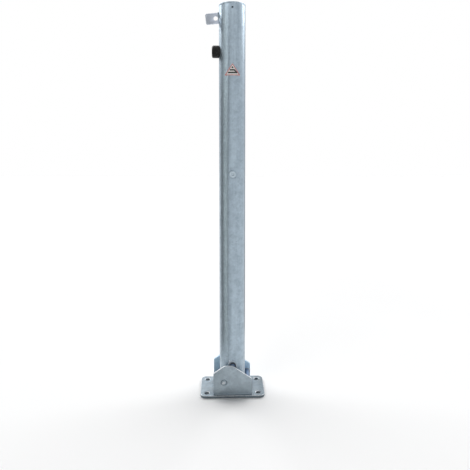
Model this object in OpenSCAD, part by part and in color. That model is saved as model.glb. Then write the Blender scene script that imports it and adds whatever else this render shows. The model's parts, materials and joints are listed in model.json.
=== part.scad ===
// Fold-down bollard: a steel post that tips over on a pivot between two cheeks of a bolted base.
// Millimetres, +Z up, origin at the middle of the base plate's underside. The post folds towards -X.

/* [Post] */
// Height of the whole bollard above the ground
total_h = 900; // [700:10:1100]
// Outside diameter of the post tube
post_d = 60; // [50:1:72]
// Wall of the post tube
post_wall = 2.5; // [2:0.1:3.5]
// Gap between the foot of the tube and the base plate
foot_gap = 0.4; // [0.3:0.1:1]
// Diameter of the vent hole near the top
vent_d = 4.5; // [3:0.5:8]
// Distance from the top down to the vent hole
vent_drop = 15; // [13:1:17]

/* [Top cap] */
// Thickness of the cap at its edge
cap_edge_t = 3; // [2:0.5:5]
// Height of the dome above the cap's edge
cap_dome = 2; // [1:0.5:6]
// Chamfer round the cap's edge
cap_chamfer = 1; // [0.5:0.1:1.5]
// Depth of the spigot that goes down into the tube
cap_spigot_h = 7; // [4:1:8]

/* [Base plate] */
// Length of the base plate along X
base_l = 150; // [145:1:200]
// Width of the base plate along Y
base_w = 88; // [86:1:130]
// Thickness of the base plate
base_t = 6; // [5:0.5:10]
// Corner radius of the base plate
base_corner_r = 12; // [4:1:16]
// Diameter of the anchor holes
anchor_d = 11; // [8:0.5:14]
// Distance between anchor holes along X
anchor_x = 120; // [116:1:130]
// Distance between anchor holes along Y
anchor_y = 60; // [50:1:68]

/* [Cheeks] */
// Thickness of each cheek
cheek_t = 5; // [4:0.5:6]
// Height of a cheek's flat top above the base plate
cheek_h = 66.5; // [60:0.5:80]
// Height of a cheek's edge on the folding side
cheek_fold_h = 49.5; // [42:0.5:55]
// Height of a cheek's edge on the stop side
cheek_stop_h = 37; // [30:0.5:50]
// How far a cheek reaches past the tube on each side
cheek_reach = 14.5; // [14:0.5:16]
// Gap between the tube and each cheek
side_gap = 3; // [2.5:0.1:4]

/* [Pivot] */
// Distance of the pivot from the tube's axis, towards the folding side
pivot_offset = 20; // [18:0.5:20]
// Height of the pivot above the base plate
pivot_h = 28; // [26:0.5:32]
// Angle that the post folds through, in degrees
fold_angle = 89.5; // [85:0.5:89.5]
// Diameter of the pivot pin
pin_d = 12; // [10:0.5:12]
// How far the pin stands out of the front cheek
pin_proud = 0.8; // [0.5:0.1:2]
// Diameter of the bosses that carry the pivot in the tube
boss_d = 20; // [18:0.5:20]
// Distance from the middle of the tube to a boss's inner end
boss_in = 14; // [13:0.5:18]
// Wall of the plastic pivot bushes
bush_wall = 1.5; // [1:0.1:2]
// Thickness of a pivot bush's flange
bush_flange_t = 1.5; // [1:0.1:2]

/* [Stop bar] */
// Diameter of the round bar that the upright post leans on
stop_d = 12; // [10:0.5:13]
// Height of the stop bar's middle above the base plate
stop_h = 18.5; // [15:0.5:22]

/* [Lock] */
// Depth of the key window's middle below the top of the cheeks
window_drop = 3.5; // [0:0.5:8]
// Height of the keeper hole in the rear cheek above the base plate
keeper_h = 17; // [14:0.5:24]
// Outside diameter of the lock barrel
barrel_d = 22; // [21:0.5:24]
// Length of the lock barrel along its axis
barrel_l = 46; // [44:1:48]
// How far the barrel's mouth stands out of the tube
barrel_proud = 1; // [0.5:0.1:1.5]
// Diameter of the bore that the key enters
key_bore_d = 17; // [16:0.5:17]
// Depth of the spindle's face in the barrel
spindle_depth = 9; // [8:0.5:10]
// Thickness of the spindle's flange
spindle_t = 7; // [5:0.5:8]
// Size across the corners of the triangular key stud
key_tri_d = 12; // [9:0.5:12]
// Height of the triangular key stud
key_tri_h = 6; // [4:0.5:7]
// Side of the spindle's square shank
shank_s = 7; // [6:0.1:7.2]
// Diameter of the lock bolt's head
bolt_head_d = 14.4; // [14:0.1:15]
// Diameter of the lock bolt
bolt_d = 12; // [10:0.5:12]
// Travel of the lock bolt for a quarter turn of the key
bolt_throw = 12; // [11:0.5:13]
// Diameter of the cam pin in the lock bolt
cam_pin_d = 4; // [3:0.5:4]
// Outside diameter of the rear guide sleeve
guide_d = 19; // [16:0.5:20]
// Length of the rear guide sleeve
guide_l = 16; // [10:1:18]

/* [Eye tab] */
// Thickness of the eye tab
tab_t = 4; // [3:0.5:6]
// Height of the eye tab
tab_h = 24; // [20:1:30]
// Length of the eye tab outside the tube
tab_l = 30; // [24:1:30]
// Droop of the eye tab's outer end, in degrees
tab_droop = 6; // [0:1:8]
// Distance from the top of the bollard to the eye tab's middle
tab_drop = 31; // [26:1:40]
// Corner radius of the eye tab
tab_corner_r = 4; // [2:0.5:6]
// Diameter of the hole in the eye tab
tab_hole_d = 10; // [8:0.5:10]
// Distance from the tube's wall to the middle of the eye hole
tab_hole_in = 7.2; // [7:0.1:12]

/* [Rubber buffer] */
// Diameter of the rubber buffer
buffer_d = 28; // [24:1:34]
// How far the buffer stands out from the tube
buffer_l = 16; // [14:1:22]
// Edge radius of the buffer
buffer_edge_r = 3; // [1:0.5:4]
// Distance from the top of the bollard to the buffer's middle
buffer_drop = 105.5; // [90:0.5:140]
// Diameter of the recess for the screw head
buffer_recess_d = 15; // [14:0.5:17]
// Depth of the recess for the screw head
buffer_recess_h = 6.5; // [6:0.5:8]

/* [Buffer fastening] */
// Diameter of the screw
screw_d = 6; // [5:0.5:6]
// Diameter of the screw head
screw_head_d = 11; // [9:0.5:12]
// Height of the screw head
screw_head_h = 3.6; // [3:0.1:4]
// Length of the screw under its head
screw_l = 20; // [18:1:24]
// Size of the socket across its flats
socket_af = 4; // [3:0.5:5]
// Thickness of the washer under the screw head
washer_t = 1.4; // [1:0.1:2]
// Diameter of the rivet nut's body
rivet_nut_d = 9; // [8:0.5:10]
// Length of the rivet nut inside the tube
rivet_nut_l = 13; // [10:1:16]

/* [Side plug and label] */
// Height of the side plug above the ground
plug_z = 518; // [300:1:600]
// Diameter of the side plug's head
plug_head_d = 16; // [14:0.5:20]
// Height of the side plug's head
plug_head_h = 1.8; // [1:0.1:3]
// Diameter of the side plug's stem
plug_stem_d = 10; // [8:0.5:11]
// Width of the hazard label, measured straight across
label_w = 36; // [28:1:40]
// Height of the hazard label
label_h = 27; // [22:1:32]
// Thickness of the hazard label
label_t = 0.4; // [0.3:0.1:0.8]
// Distance from the top of the bollard to the label's apex
label_drop = 135; // [125:1:180]

/* [Hidden] */
$fn = 96;

// Clearances
weld_gap = 0.1;     // between pieces that are welded or pressed together
run_gap = 0.1;      // round a turning or sliding shaft
stand_off = 0.3;    // between faces of different moving bodies
cam_gap = 0.4;      // round the cam pin in its slot
sweep_gap = 0.8;    // between the foot of the tube and what it swings past
bolt_gap = 1;       // between the withdrawn lock bolt and the rear cheek
keeper_gap = 0.6;   // round the thrown lock bolt in its keeper hole
over = 1;           // how far a cutter runs past what it cuts

// Post
post_r = post_d / 2;
bore_r = post_r - post_wall;
cap_seat_z = total_h - cap_dome - cap_edge_t;
foot_z = base_t + foot_gap;
dome_r = (pow(post_r - cap_chamfer, 2) + pow(cap_dome, 2)) / (2 * cap_dome);

// Base and pivot
cheek_in = post_r + side_gap;
cheek_out = cheek_in + cheek_t;
cheek_half_l = post_r + cheek_reach;
pivot_z = base_t + pivot_h;
stop_x = post_r + stand_off + stop_d / 2;
stop_z = base_t + stop_h;
heel_r = norm([stop_x + pivot_offset, stop_z - pivot_z]) - stop_d / 2 - sweep_gap;
toe_r = pivot_z - foot_z;
bush_d = pin_d + 2 * (run_gap / 2 + bush_wall);
boss_out = cheek_in - stand_off - bush_flange_t;
ring_groove = 1;        // depth of a snap ring's groove, and half the ring's opening
ring_band = 3;          // how far the pin's ring stands out round the pin
ring_t = 1.2;
ring_d = pin_d + 2 * ring_band;
ring_seat_y = cheek_out + washer_t;
pin_washer_d = 2 * pin_d;
pin_tail = 1;
pin_end_y = ring_seat_y + ring_t + pin_tail;

// Lock axis, from the window in the tube's front to the keeper hole in the rear cheek
window_z = base_t + cheek_h - window_drop;
keeper_z = base_t + keeper_h;
lock_run = post_r + cheek_in + cheek_t / 2;
lock_tilt = atan((window_z - keeper_z) / lock_run);
spindle_back = spindle_depth + spindle_t;
bolt_lead = 4;          // room between the spindle's flange and the lock bolt's head
bolt_start = spindle_back + bolt_lead;
bolt_rest = (post_r + cheek_in - bolt_gap - bolt_d / 2 * sin(lock_tilt)) / cos(lock_tilt);
bolt_chamfer = 1;
head_l = 20;
shank_l = head_l;
socket_l = shank_l - bolt_lead + stand_off;
cam_z = bolt_start + 1.5 * cam_pin_d;
cam_steps = 16;         // bores that make up the helical slot
cam_in_r = shank_s / sqrt(2) + cam_gap;
cam_out_r = barrel_d / 2 - cam_gap;

// Fittings
buffer_z = total_h - buffer_drop;
tab_z = total_h - tab_drop;
seat_x = post_r + buffer_l - buffer_recess_h;
nut_lip = 2;
nut_flange_d = rivet_nut_d + 2 * nut_lip;
nut_flange_t = 1;
label_apex_z = total_h - label_drop;
label_corner_r = 1.5;

// ---- helpers ----

// A cylinder along Y from y0 to y1, at x and z
module rod_y(x, z, y0, y1, d) {
    translate([x, y1, z]) rotate([90, 0, 0]) cylinder(h = y1 - y0, d = d);
}

// A cylinder along -X from x0 outwards to x1, at height z
module rod_x(z, x0, x1, d) {
    translate([-x0, 0, z]) rotate([0, -90, 0]) cylinder(h = x1 - x0, d = d);
}

// Turns its children with the post when it is folded down
module folded() {
    translate([-pivot_offset, 0, pivot_z]) rotate([0, -fold_angle, 0])
        translate([pivot_offset, 0, -pivot_z]) children();
}

// Places its children on the lock's axis: local z = 0 at the tube's front, running inwards and down
module on_lock_axis() {
    translate([0, -post_r, window_z]) rotate([-(90 + lock_tilt), 0, 0]) children();
}

// A rectangle with round corners, centred
module round_rect(l, w, r) {
    square([l - 2 * r, w], center = true);
    square([l, w - 2 * r], center = true);
    for (sx = [-1, 1], sy = [-1, 1])
        translate([sx * (l / 2 - r), sy * (w / 2 - r)]) circle(r = r);
}

// The side view of a cheek, x along the base and y up from its plate
module cheek_outline() {
    polygon([
        [-cheek_half_l, 0], [-cheek_half_l, cheek_fold_h], [-pivot_offset, cheek_h],
        [0, cheek_h], [cheek_half_l, cheek_stop_h], [cheek_half_l, 0]
    ]);
}

// One cheek whose inner side lies at y, growing towards +Y, with its pivot hole
module cheek_plate(y) {
    difference() {
        translate([0, y + cheek_t, base_t]) rotate([90, 0, 0])
            linear_extrude(cheek_t) cheek_outline();
        rod_y(-pivot_offset, pivot_z, y - over, y + cheek_t + over, pin_d + 2 * weld_gap);
    }
}

// A flat ring along Y
module ring_y(x, z, y0, t, d, hole) {
    difference() {
        rod_y(x, z, y0, y0 + t, d);
        rod_y(x, z, y0 - over, y0 + t + over, hole);
    }
}

// Everything outside radius r of the pivot, in one quarter below it; side is -1 or 1 along X
module outside_pivot(r, side) {
    reach = 2 * post_d;
    difference() {
        translate([-pivot_offset + (side < 0 ? -reach : 0), -reach / 2, pivot_z - reach])
            cube([reach, reach, reach]);
        rod_y(-pivot_offset, pivot_z, -reach, reach, 2 * r);
    }
}

// ---- base ----

module base_plate() {
    color("lightsteelblue") difference() {
        linear_extrude(base_t) round_rect(base_l, base_w, base_corner_r);
        for (sx = [-1, 1], sy = [-1, 1])
            translate([sx * anchor_x / 2, sy * anchor_y / 2, -over])
                cylinder(h = base_t + 2 * over, d = anchor_d);
    }
}

module front_cheek() {
    color("lightsteelblue") cheek_plate(-cheek_out);
}

module keeper_cut() {
    on_lock_axis() cylinder(h = 3 * post_d, d = bolt_d + 2 * keeper_gap);
}

module rear_cheek() {
    color("lightsteelblue") difference() {
        cheek_plate(cheek_in);
        // one keeper hole for the upright post and one for the folded post
        keeper_cut();
        folded() keeper_cut();
    }
}

module stop_bar() {
    color("silver") rod_y(stop_x, stop_z, -cheek_in, cheek_in, stop_d);
}

module pivot_pin() {
    color("silver") difference() {
        rod_y(-pivot_offset, pivot_z, -cheek_out - pin_proud, pin_end_y, pin_d);
        ring_y(-pivot_offset, pivot_z, ring_seat_y, ring_t, pin_d + over, pin_d - 2 * ring_groove);
    }
}

module pin_washer() {
    color("silver") ring_y(-pivot_offset, pivot_z, cheek_out, washer_t, pin_washer_d, pin_d + 2 * run_gap);
}

module pin_ring() {
    color("dimgray") difference() {
        ring_y(-pivot_offset, pivot_z, ring_seat_y, ring_t, ring_d, pin_d - 2 * ring_groove + 2 * weld_gap);
        // the open side that lets the ring snap on
        translate([-pivot_offset - ring_groove, ring_seat_y - over, pivot_z])
            cube([2 * ring_groove, ring_t + 2 * over, ring_d]);
    }
}

// ---- post ----

module post_tube() {
    color("lightsteelblue") difference() {
        translate([0, 0, foot_z]) cylinder(h = cap_seat_z - foot_z, r = post_r);
        translate([0, 0, foot_z - over]) cylinder(h = cap_seat_z, r = bore_r);
        // foot rounded about the pivot, so that it swings clear of the stop bar and the plate
        outside_pivot(heel_r, 1);
        outside_pivot(toe_r, -1);
        for (side = [-1, 1])
            rod_y(-pivot_offset, pivot_z, side < 0 ? -post_d : boss_in, side < 0 ? -boss_in : post_d,
                  boss_d + 2 * weld_gap);
        rod_y(-pivot_offset, pivot_z, -post_r, post_r, pin_d + 2 * stand_off);
        on_lock_axis() translate([0, 0, -barrel_d])
            cylinder(h = 2 * barrel_d, d = barrel_d + 2 * weld_gap);
        on_lock_axis() translate([0, 0, post_d])
            cylinder(h = post_d, d = guide_d + 2 * weld_gap);
        rod_y(0, total_h - vent_drop, -post_d, 0, vent_d);
        rod_y(0, plug_z, -post_d, 0, plug_stem_d + 2 * weld_gap);
        rod_x(buffer_z, 0, post_d, rivet_nut_d + 2 * weld_gap);
    }
}

module top_cap() {
    color("lightsteelblue") translate([0, 0, cap_seat_z]) {
        rotate_extrude() intersection() {
            translate([0, cap_edge_t + cap_dome - dome_r]) circle(r = dome_r, $fn = 360);
            polygon([
                [0, 0], [post_r, 0], [post_r, cap_edge_t - cap_chamfer],
                [post_r - cap_chamfer, cap_edge_t], [post_r - cap_chamfer, cap_edge_t + cap_dome],
                [0, cap_edge_t + cap_dome]
            ]);
        }
        translate([0, 0, -cap_spigot_h]) cylinder(h = cap_spigot_h + cap_edge_t / 2, r = bore_r - weld_gap);
    }
}

module pivot_bosses() {
    color("silver") for (side = [0, 1]) mirror([0, side, 0])
        ring_y(-pivot_offset, pivot_z, boss_in, boss_out - boss_in, boss_d, bush_d + 2 * weld_gap);
}

module pivot_bushes() {
    color("dimgray") for (side = [0, 1]) mirror([0, side, 0]) difference() {
        union() {
            rod_y(-pivot_offset, pivot_z, boss_in, boss_out, bush_d);
            rod_y(-pivot_offset, pivot_z, boss_out, boss_out + bush_flange_t, boss_d);
        }
        rod_y(-pivot_offset, pivot_z, boss_in - over, cheek_in, pin_d + run_gap);
    }
}

// Side view of the eye tab: x runs outwards from the tube's axis
module tab_outline() {
    end = post_r + tab_l;
    difference() {
        union() {
            translate([0, -tab_h / 2]) square([end - tab_corner_r, tab_h]);
            translate([0, tab_corner_r - tab_h / 2]) square([end, tab_h - 2 * tab_corner_r]);
            for (s = [-1, 1])
                translate([end - tab_corner_r, s * (tab_h / 2 - tab_corner_r)]) circle(r = tab_corner_r);
        }
        translate([post_r + tab_hole_in, 0]) circle(d = tab_hole_d);
    }
}

module eye_tab() {
    // the droop turns the plate about the point where it meets the tube
    color("lightsteelblue") difference() {
        translate([-post_r, 0, tab_z]) rotate([0, -tab_droop, 0]) mirror([1, 0, 0])
            translate([-post_r, tab_t / 2, 0]) rotate([90, 0, 0])
                linear_extrude(tab_t) tab_outline();
        translate([0, 0, tab_z - tab_h]) cylinder(h = 2 * tab_h, r = post_r + weld_gap);
    }
}

module rubber_buffer() {
    tip = post_r + buffer_l;
    color([0.1, 0.1, 0.1]) difference() {
        translate([0, 0, buffer_z]) rotate([0, -90, 0]) rotate_extrude() {
            square([buffer_d / 2, tip - buffer_edge_r]);
            square([buffer_d / 2 - buffer_edge_r, tip]);
            translate([buffer_d / 2 - buffer_edge_r, tip - buffer_edge_r]) circle(r = buffer_edge_r);
        }
        translate([0, 0, buffer_z - buffer_d]) cylinder(h = 2 * buffer_d, r = post_r + weld_gap);
        rod_x(buffer_z, seat_x, post_d + buffer_d, buffer_recess_d);
        rod_x(buffer_z, 0, post_d, screw_d + 2 * weld_gap);
        rod_x(buffer_z, 0, post_r + nut_flange_t + 2 * weld_gap, nut_flange_d + 2 * weld_gap);
    }
}

module buffer_washer() {
    color("silver") difference() {
        rod_x(buffer_z, seat_x, seat_x + washer_t, buffer_recess_d - 1);
        rod_x(buffer_z, seat_x - over, seat_x + washer_t + over, screw_d + 2 * weld_gap);
    }
}

module buffer_screw() {
    head_x = seat_x + washer_t;
    color("silver") difference() {
        union() {
            rod_x(buffer_z, head_x - screw_l, head_x + over, screw_d);
            rod_x(buffer_z, head_x, head_x + screw_head_h, screw_head_d);
        }
        translate([-head_x - screw_head_h / 3, 0, buffer_z]) rotate([0, -90, 0])
            cylinder(h = screw_head_h, d = socket_af / cos(30), $fn = 6);
    }
}

module rivet_nut() {
    color("silver") difference() {
        union() {
            rod_x(buffer_z, post_r + weld_gap, post_r + weld_gap + nut_flange_t, nut_flange_d);
            rod_x(buffer_z, post_r - rivet_nut_l, post_r + 2 * weld_gap, rivet_nut_d);
        }
        rod_x(buffer_z, 0, post_d, screw_d + 2 * weld_gap);
    }
}

module side_plug() {
    dimple_d = 5;
    dimple_h = 0.8;
    barb_lip = 0.75;
    barb_d = plug_stem_d + 2 * barb_lip;
    barb_y = weld_gap - sqrt(pow(bore_r, 2) - pow(barb_d / 2, 2));
    barb_h = 4;
    color("lightsteelblue") difference() {
        translate([0, 0, plug_z]) rotate([90, 0, 0]) rotate_extrude() {
            square([plug_head_d / 2 - plug_head_h / 2, post_r + plug_head_h]);
            square([plug_head_d / 2, post_r + plug_head_h / 2]);
            translate([plug_head_d / 2 - plug_head_h / 2, post_r + plug_head_h / 2])
                circle(d = plug_head_h);
        }
        // the stem and its barb are what is left inside the tube
        difference() {
            translate([0, 0, plug_z - plug_head_d]) cylinder(h = 2 * plug_head_d, r = post_r + weld_gap);
            rod_y(0, plug_z, -post_d, barb_y + over, plug_stem_d);
            rod_y(0, plug_z, barb_y, barb_y + barb_h, barb_d);
        }
        rod_y(0, plug_z, -post_d, -post_r - plug_head_h + dimple_h, dimple_d);
    }
}

module hazard_label() {
    color("white") intersection() {
        translate([0, 0, label_apex_z - 2 * label_h]) difference() {
            cylinder(h = 4 * label_h, r = post_r + weld_gap + label_t);
            translate([0, 0, -over]) cylinder(h = 4 * label_h + 2 * over, r = post_r + weld_gap);
        }
        translate([0, 0, label_apex_z]) rotate([90, 0, 0]) linear_extrude(post_d)
            polygon([
                [-label_corner_r, 0], [label_corner_r, 0],
                [label_w / 2, label_corner_r - label_h], [label_w / 2 - label_corner_r, -label_h],
                [label_corner_r - label_w / 2, -label_h], [-label_w / 2, label_corner_r - label_h]
            ]);
    }
}

// ---- lock ----

module lock_barrel() {
    color("silver") intersection() {
        on_lock_axis() difference() {
            translate([0, 0, -barrel_d]) cylinder(h = barrel_l + barrel_d, d = barrel_d);
            translate([0, 0, -2 * barrel_d]) cylinder(h = 2 * barrel_d + spindle_back, d = key_bore_d);
            cylinder(h = barrel_l + over, d = bolt_head_d + 2 * run_gap);
            // groove for the ring that keeps the spindle in
            translate([0, 0, spindle_depth - ring_t - run_gap])
                cylinder(h = ring_t + run_gap, d = key_bore_d + 2);
            // helical slot that drives the cam pin
            for (i = [0 : cam_steps])
                translate([0, 0, cam_z + i * bolt_throw / cam_steps]) rotate([0, 0, i * 90 / cam_steps])
                    rotate([0, 90, 0]) cylinder(h = barrel_d, d = cam_pin_d + 2 * cam_gap);
        }
        cylinder(h = total_h, r = post_r + barrel_proud);
    }
}

module spindle_ring() {
    color("dimgray") on_lock_axis() translate([0, 0, spindle_depth - ring_t - run_gap / 2])
        difference() {
            cylinder(h = ring_t - run_gap, d = key_bore_d + 2 - 2 * weld_gap);
            translate([0, 0, -over]) cylinder(h = ring_t + 2 * over, d = key_bore_d - 3);
            translate([-ring_groove, 0, -over]) cube([2 * ring_groove, key_bore_d, ring_t + 2 * over]);
        }
}

module bolt_guide() {
    color("silver") intersection() {
        on_lock_axis() difference() {
            translate([0, 0, bolt_rest - guide_l]) cylinder(h = guide_l + guide_d, d = guide_d);
            cylinder(h = 3 * post_d, d = bolt_d + 2 * run_gap);
        }
        cylinder(h = total_h, r = post_r);
    }
}

module key_spindle() {
    color("goldenrod") on_lock_axis() {
        translate([0, 0, spindle_depth - key_tri_h]) cylinder(h = key_tri_h + over, d = key_tri_d, $fn = 3);
        translate([0, 0, spindle_depth + run_gap])
            cylinder(h = spindle_t - 2 * run_gap, d = key_bore_d - 2 * run_gap);
        translate([-shank_s / 2, -shank_s / 2, spindle_back - over])
            cube([shank_s, shank_s, shank_l + over]);
    }
}

module lock_bolt() {
    socket_s = shank_s + stand_off;
    color("silver") on_lock_axis() difference() {
        union() {
            translate([0, 0, bolt_start]) cylinder(h = head_l, d = bolt_head_d);
            translate([0, 0, bolt_start]) cylinder(h = bolt_rest - bolt_start - bolt_chamfer, d = bolt_d);
            translate([0, 0, bolt_rest - bolt_chamfer])
                cylinder(h = bolt_chamfer, d1 = bolt_d, d2 = bolt_d - 2 * bolt_chamfer);
        }
        translate([-socket_s / 2, -socket_s / 2, bolt_start - over]) cube([socket_s, socket_s, socket_l + over]);
        translate([0, 0, cam_z]) rotate([0, 90, 0]) cylinder(h = barrel_d, d = cam_pin_d + 2 * weld_gap);
    }
}

module cam_pin() {
    color("silver") on_lock_axis() translate([cam_in_r, 0, cam_z]) rotate([0, 90, 0])
        cylinder(h = cam_out_r - cam_in_r, d = cam_pin_d);
}

base_plate();
front_cheek();
rear_cheek();
stop_bar();
pivot_pin();
pin_washer();
pin_ring();
post_tube();
top_cap();
pivot_bosses();
pivot_bushes();
eye_tab();
rubber_buffer();
buffer_screw();
buffer_washer();
rivet_nut();
side_plug();
hazard_label();
lock_barrel();
spindle_ring();
bolt_guide();
key_spindle();
lock_bolt();
cam_pin();
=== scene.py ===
"""A galvanised fold-down bollard: finished pieces, materials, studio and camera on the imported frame."""

import json
import logging
import math
import random
from dataclasses import dataclass
from enum import Enum
from typing import Any, Callable, Sequence

import bmesh
import bpy
from mathutils import Matrix, Vector


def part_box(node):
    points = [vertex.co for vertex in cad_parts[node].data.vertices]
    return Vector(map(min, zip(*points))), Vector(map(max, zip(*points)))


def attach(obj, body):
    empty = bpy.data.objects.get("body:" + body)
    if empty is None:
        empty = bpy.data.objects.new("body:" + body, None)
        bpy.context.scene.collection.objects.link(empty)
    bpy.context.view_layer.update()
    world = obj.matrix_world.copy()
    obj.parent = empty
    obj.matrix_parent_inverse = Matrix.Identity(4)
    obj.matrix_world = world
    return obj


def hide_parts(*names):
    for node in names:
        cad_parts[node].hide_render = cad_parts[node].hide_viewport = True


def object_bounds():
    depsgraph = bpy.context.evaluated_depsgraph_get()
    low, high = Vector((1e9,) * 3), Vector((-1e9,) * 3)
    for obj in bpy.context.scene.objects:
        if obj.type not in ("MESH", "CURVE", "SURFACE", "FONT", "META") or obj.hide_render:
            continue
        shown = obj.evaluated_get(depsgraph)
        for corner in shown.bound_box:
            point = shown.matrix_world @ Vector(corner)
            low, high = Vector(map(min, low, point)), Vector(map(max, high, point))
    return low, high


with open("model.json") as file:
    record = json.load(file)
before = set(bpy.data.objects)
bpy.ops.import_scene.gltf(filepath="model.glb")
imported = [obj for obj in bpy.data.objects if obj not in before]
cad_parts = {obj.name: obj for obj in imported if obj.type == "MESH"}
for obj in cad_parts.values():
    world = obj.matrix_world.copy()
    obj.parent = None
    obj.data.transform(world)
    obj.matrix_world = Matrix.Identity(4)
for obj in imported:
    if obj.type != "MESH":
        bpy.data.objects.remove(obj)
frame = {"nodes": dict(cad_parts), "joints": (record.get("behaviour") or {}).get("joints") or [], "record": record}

LOG = logging.getLogger("bollard")
CAD_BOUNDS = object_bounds()
TOP_Z = CAD_BOUNDS[1].z

MM = 0.001
OVER = 1 * MM  # how far a cutter reaches past the piece
STOCK_H = 200 * MM  # length of the round stock that trims the lock's pieces
UP = Vector((0, 0, 1))

BMesh = bmesh.types.BMesh
BMFace = bmesh.types.BMFace
Node = bpy.types.Node
Socket = bpy.types.NodeSocket
Material = bpy.types.Material
Colour = tuple[float, float, float]
Point = tuple[float, float]


class Body(Enum):
    """The moving bodies of the bollard."""

    BASE = "base"
    POST = "post"
    SPINDLE = "spindle"
    BOLT = "bolt"


class Slot(Enum):
    """The record's material slots."""

    TUBE = "galvanised_tube"
    PLATE = "galvanised_plate"
    ZINC = "zinc_plated"
    BRASS = "lock_brass"
    BUSH = "bush_plastic"
    RUBBER = "buffer_rubber"
    FILM = "label_film"


class Cut(Enum):
    """What a tool does to the blank it meets."""

    AWAY = "DIFFERENCE"
    COMMON = "INTERSECT"


# ---- Frame look-ups ----


@dataclass(frozen=True)
class Span:
    """The box that a CAD node fills at rest."""

    lo: Vector
    hi: Vector

    @classmethod
    def of(cls, node: str) -> "Span":
        """Returns the box of the CAD node of that name."""
        return cls(*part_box(node))

    @property
    def mid(self) -> Vector:
        """The middle of the box."""
        return (self.lo + self.hi) / 2

    @property
    def size(self) -> Vector:
        """The box's length along each axis."""
        return self.hi - self.lo

    def mid_at_y(self, y: float) -> Vector:
        """Returns the middle of the box, moved to that Y."""
        return Vector((self.mid.x, y, self.mid.z))


@dataclass(frozen=True)
class Hinge:
    """A joint's line and range, as the frame states them."""

    at: Vector
    along: Vector
    top: float

    @classmethod
    def of(cls, name: str) -> "Hinge":
        """Reads a hinge from the frame.

        Args:
            name: The joint's name.

        Returns:
            The hinge, with its upper limit in radians.
        """
        joint = next(j for j in frame["joints"] if j["name"] == name)
        along = Vector(joint["axis"]).normalized()
        return cls(Vector(joint["pos_m"]), along, math.radians(joint["range_deg"][1]))

    def at_y(self, y: float) -> Vector:
        """Returns the hinge's own point, moved to that Y."""
        return Vector((self.at.x, y, self.at.z))

    def down(self, depth: float) -> Vector:
        """Returns the point that far along the hinge's line."""
        return self.at + self.along * depth

    def turned(self, angle: float) -> Matrix:
        """Returns the matrix that turns a piece about this hinge by that angle."""
        there = Matrix.Translation(self.at)
        return there @ Matrix.Rotation(angle, 4, self.along) @ there.inverted()


PIVOT = Hinge.of("post_fold")
KEY = Hinge.of("key_turn")
TUBE_R = Span.of("post_tube").size.x / 2


# ---- Mesh work ----


def aim(origin: Vector, direction: Vector) -> Matrix:
    """Makes a place whose own +Z runs along a direction.

    Args:
        origin: Where the place is.
        direction: Where its +Z points.

    Returns:
        The place as a matrix.
    """
    return Matrix.Translation(origin) @ direction.to_track_quat("Z", "Y").to_matrix().to_4x4()


def rod(start: Vector, end: Vector, radius: float, end_radius: float | None = None,
        sides: int = 96) -> BMesh:
    """Makes a closed round bar or cone.

    Args:
        start: The middle of its first end.
        end: The middle of its other end.
        radius: Radius at the start.
        end_radius: Radius at the end; the same as the start's if left out.
        sides: Faces round it.

    Returns:
        The bar as a bmesh.
    """
    bm = bmesh.new()
    run = end - start
    last = radius if end_radius is None else end_radius
    bmesh.ops.create_cone(bm, cap_ends=True, cap_tris=False, segments=sides, radius1=radius, radius2=last,
                          depth=run.length, matrix=aim((start + end) / 2, run))
    return bm


def block(lo: Vector, hi: Vector) -> BMesh:
    """Makes a square block between two corners.

    Args:
        lo: Lowest corner.
        hi: Highest corner.

    Returns:
        The block as a bmesh.
    """
    bm = bmesh.new()
    size = hi - lo
    place = Matrix.Translation((lo + hi) / 2) @ Matrix.Diagonal((*size, 1))
    bmesh.ops.create_cube(bm, size=1, matrix=place)
    return bm


def plate(outline: Sequence[Point], place: Matrix, thickness: float, corner_r: float = 0.0,
          rounded: Sequence[int] | None = None) -> BMesh:
    """Cuts a flat plate to an outline.

    Args:
        outline: Corners in the plate's own plane, in order.
        place: Where the outline's plane is; the plate grows along the place's +Z.
        thickness: The plate's thickness.
        corner_r: Radius of its corners.
        rounded: Which corners are round; all of them if left out.

    Returns:
        The plate as a bmesh.
    """
    bm = bmesh.new()
    corners = [bm.verts.new((u, v, 0)) for u, v in outline]
    bm.faces.new(corners)
    if corner_r > 0:
        chosen = corners if rounded is None else [corners[i] for i in rounded]
        bmesh.ops.bevel(bm, geom=chosen, offset=corner_r, offset_type="OFFSET", segments=8, profile=0.5,
                        affect="VERTICES", material=-1, clamp_overlap=True)
    grown = bmesh.ops.extrude_face_region(bm, geom=bm.faces[:])
    lifted = [g for g in grown["geom"] if isinstance(g, bmesh.types.BMVert)]
    bmesh.ops.translate(bm, verts=lifted, vec=(0, 0, thickness))
    bmesh.ops.transform(bm, matrix=place, verts=bm.verts)
    bmesh.ops.recalc_face_normals(bm, faces=bm.faces)
    return bm


def turned(profile: Sequence[Point], place: Matrix, steps: int = 96, closed: bool = False) -> BMesh:
    """Turns a profile on a lathe.

    Args:
        profile: Radius and height of each point, in order.
        place: Where the lathe's axis is, along the place's +Z.
        steps: Faces round the piece.
        closed: Whether the profile's last point joins its first, as on a ring.

    Returns:
        The turned piece as a bmesh.
    """
    bm = bmesh.new()
    points = [bm.verts.new((r, 0, h)) for r, h in profile]
    edges = [bm.edges.new(pair) for pair in zip(points, points[1:])]
    if closed:
        edges.append(bm.edges.new((points[-1], points[0])))
    bmesh.ops.spin(bm, geom=points + edges, cent=(0, 0, 0), axis=(0, 0, 1), angle=math.tau, steps=steps,
                   use_merge=True)
    bmesh.ops.remove_doubles(bm, verts=bm.verts, dist=1e-7)
    bmesh.ops.transform(bm, matrix=place, verts=bm.verts)
    bmesh.ops.recalc_face_normals(bm, faces=bm.faces)
    return bm


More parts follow.
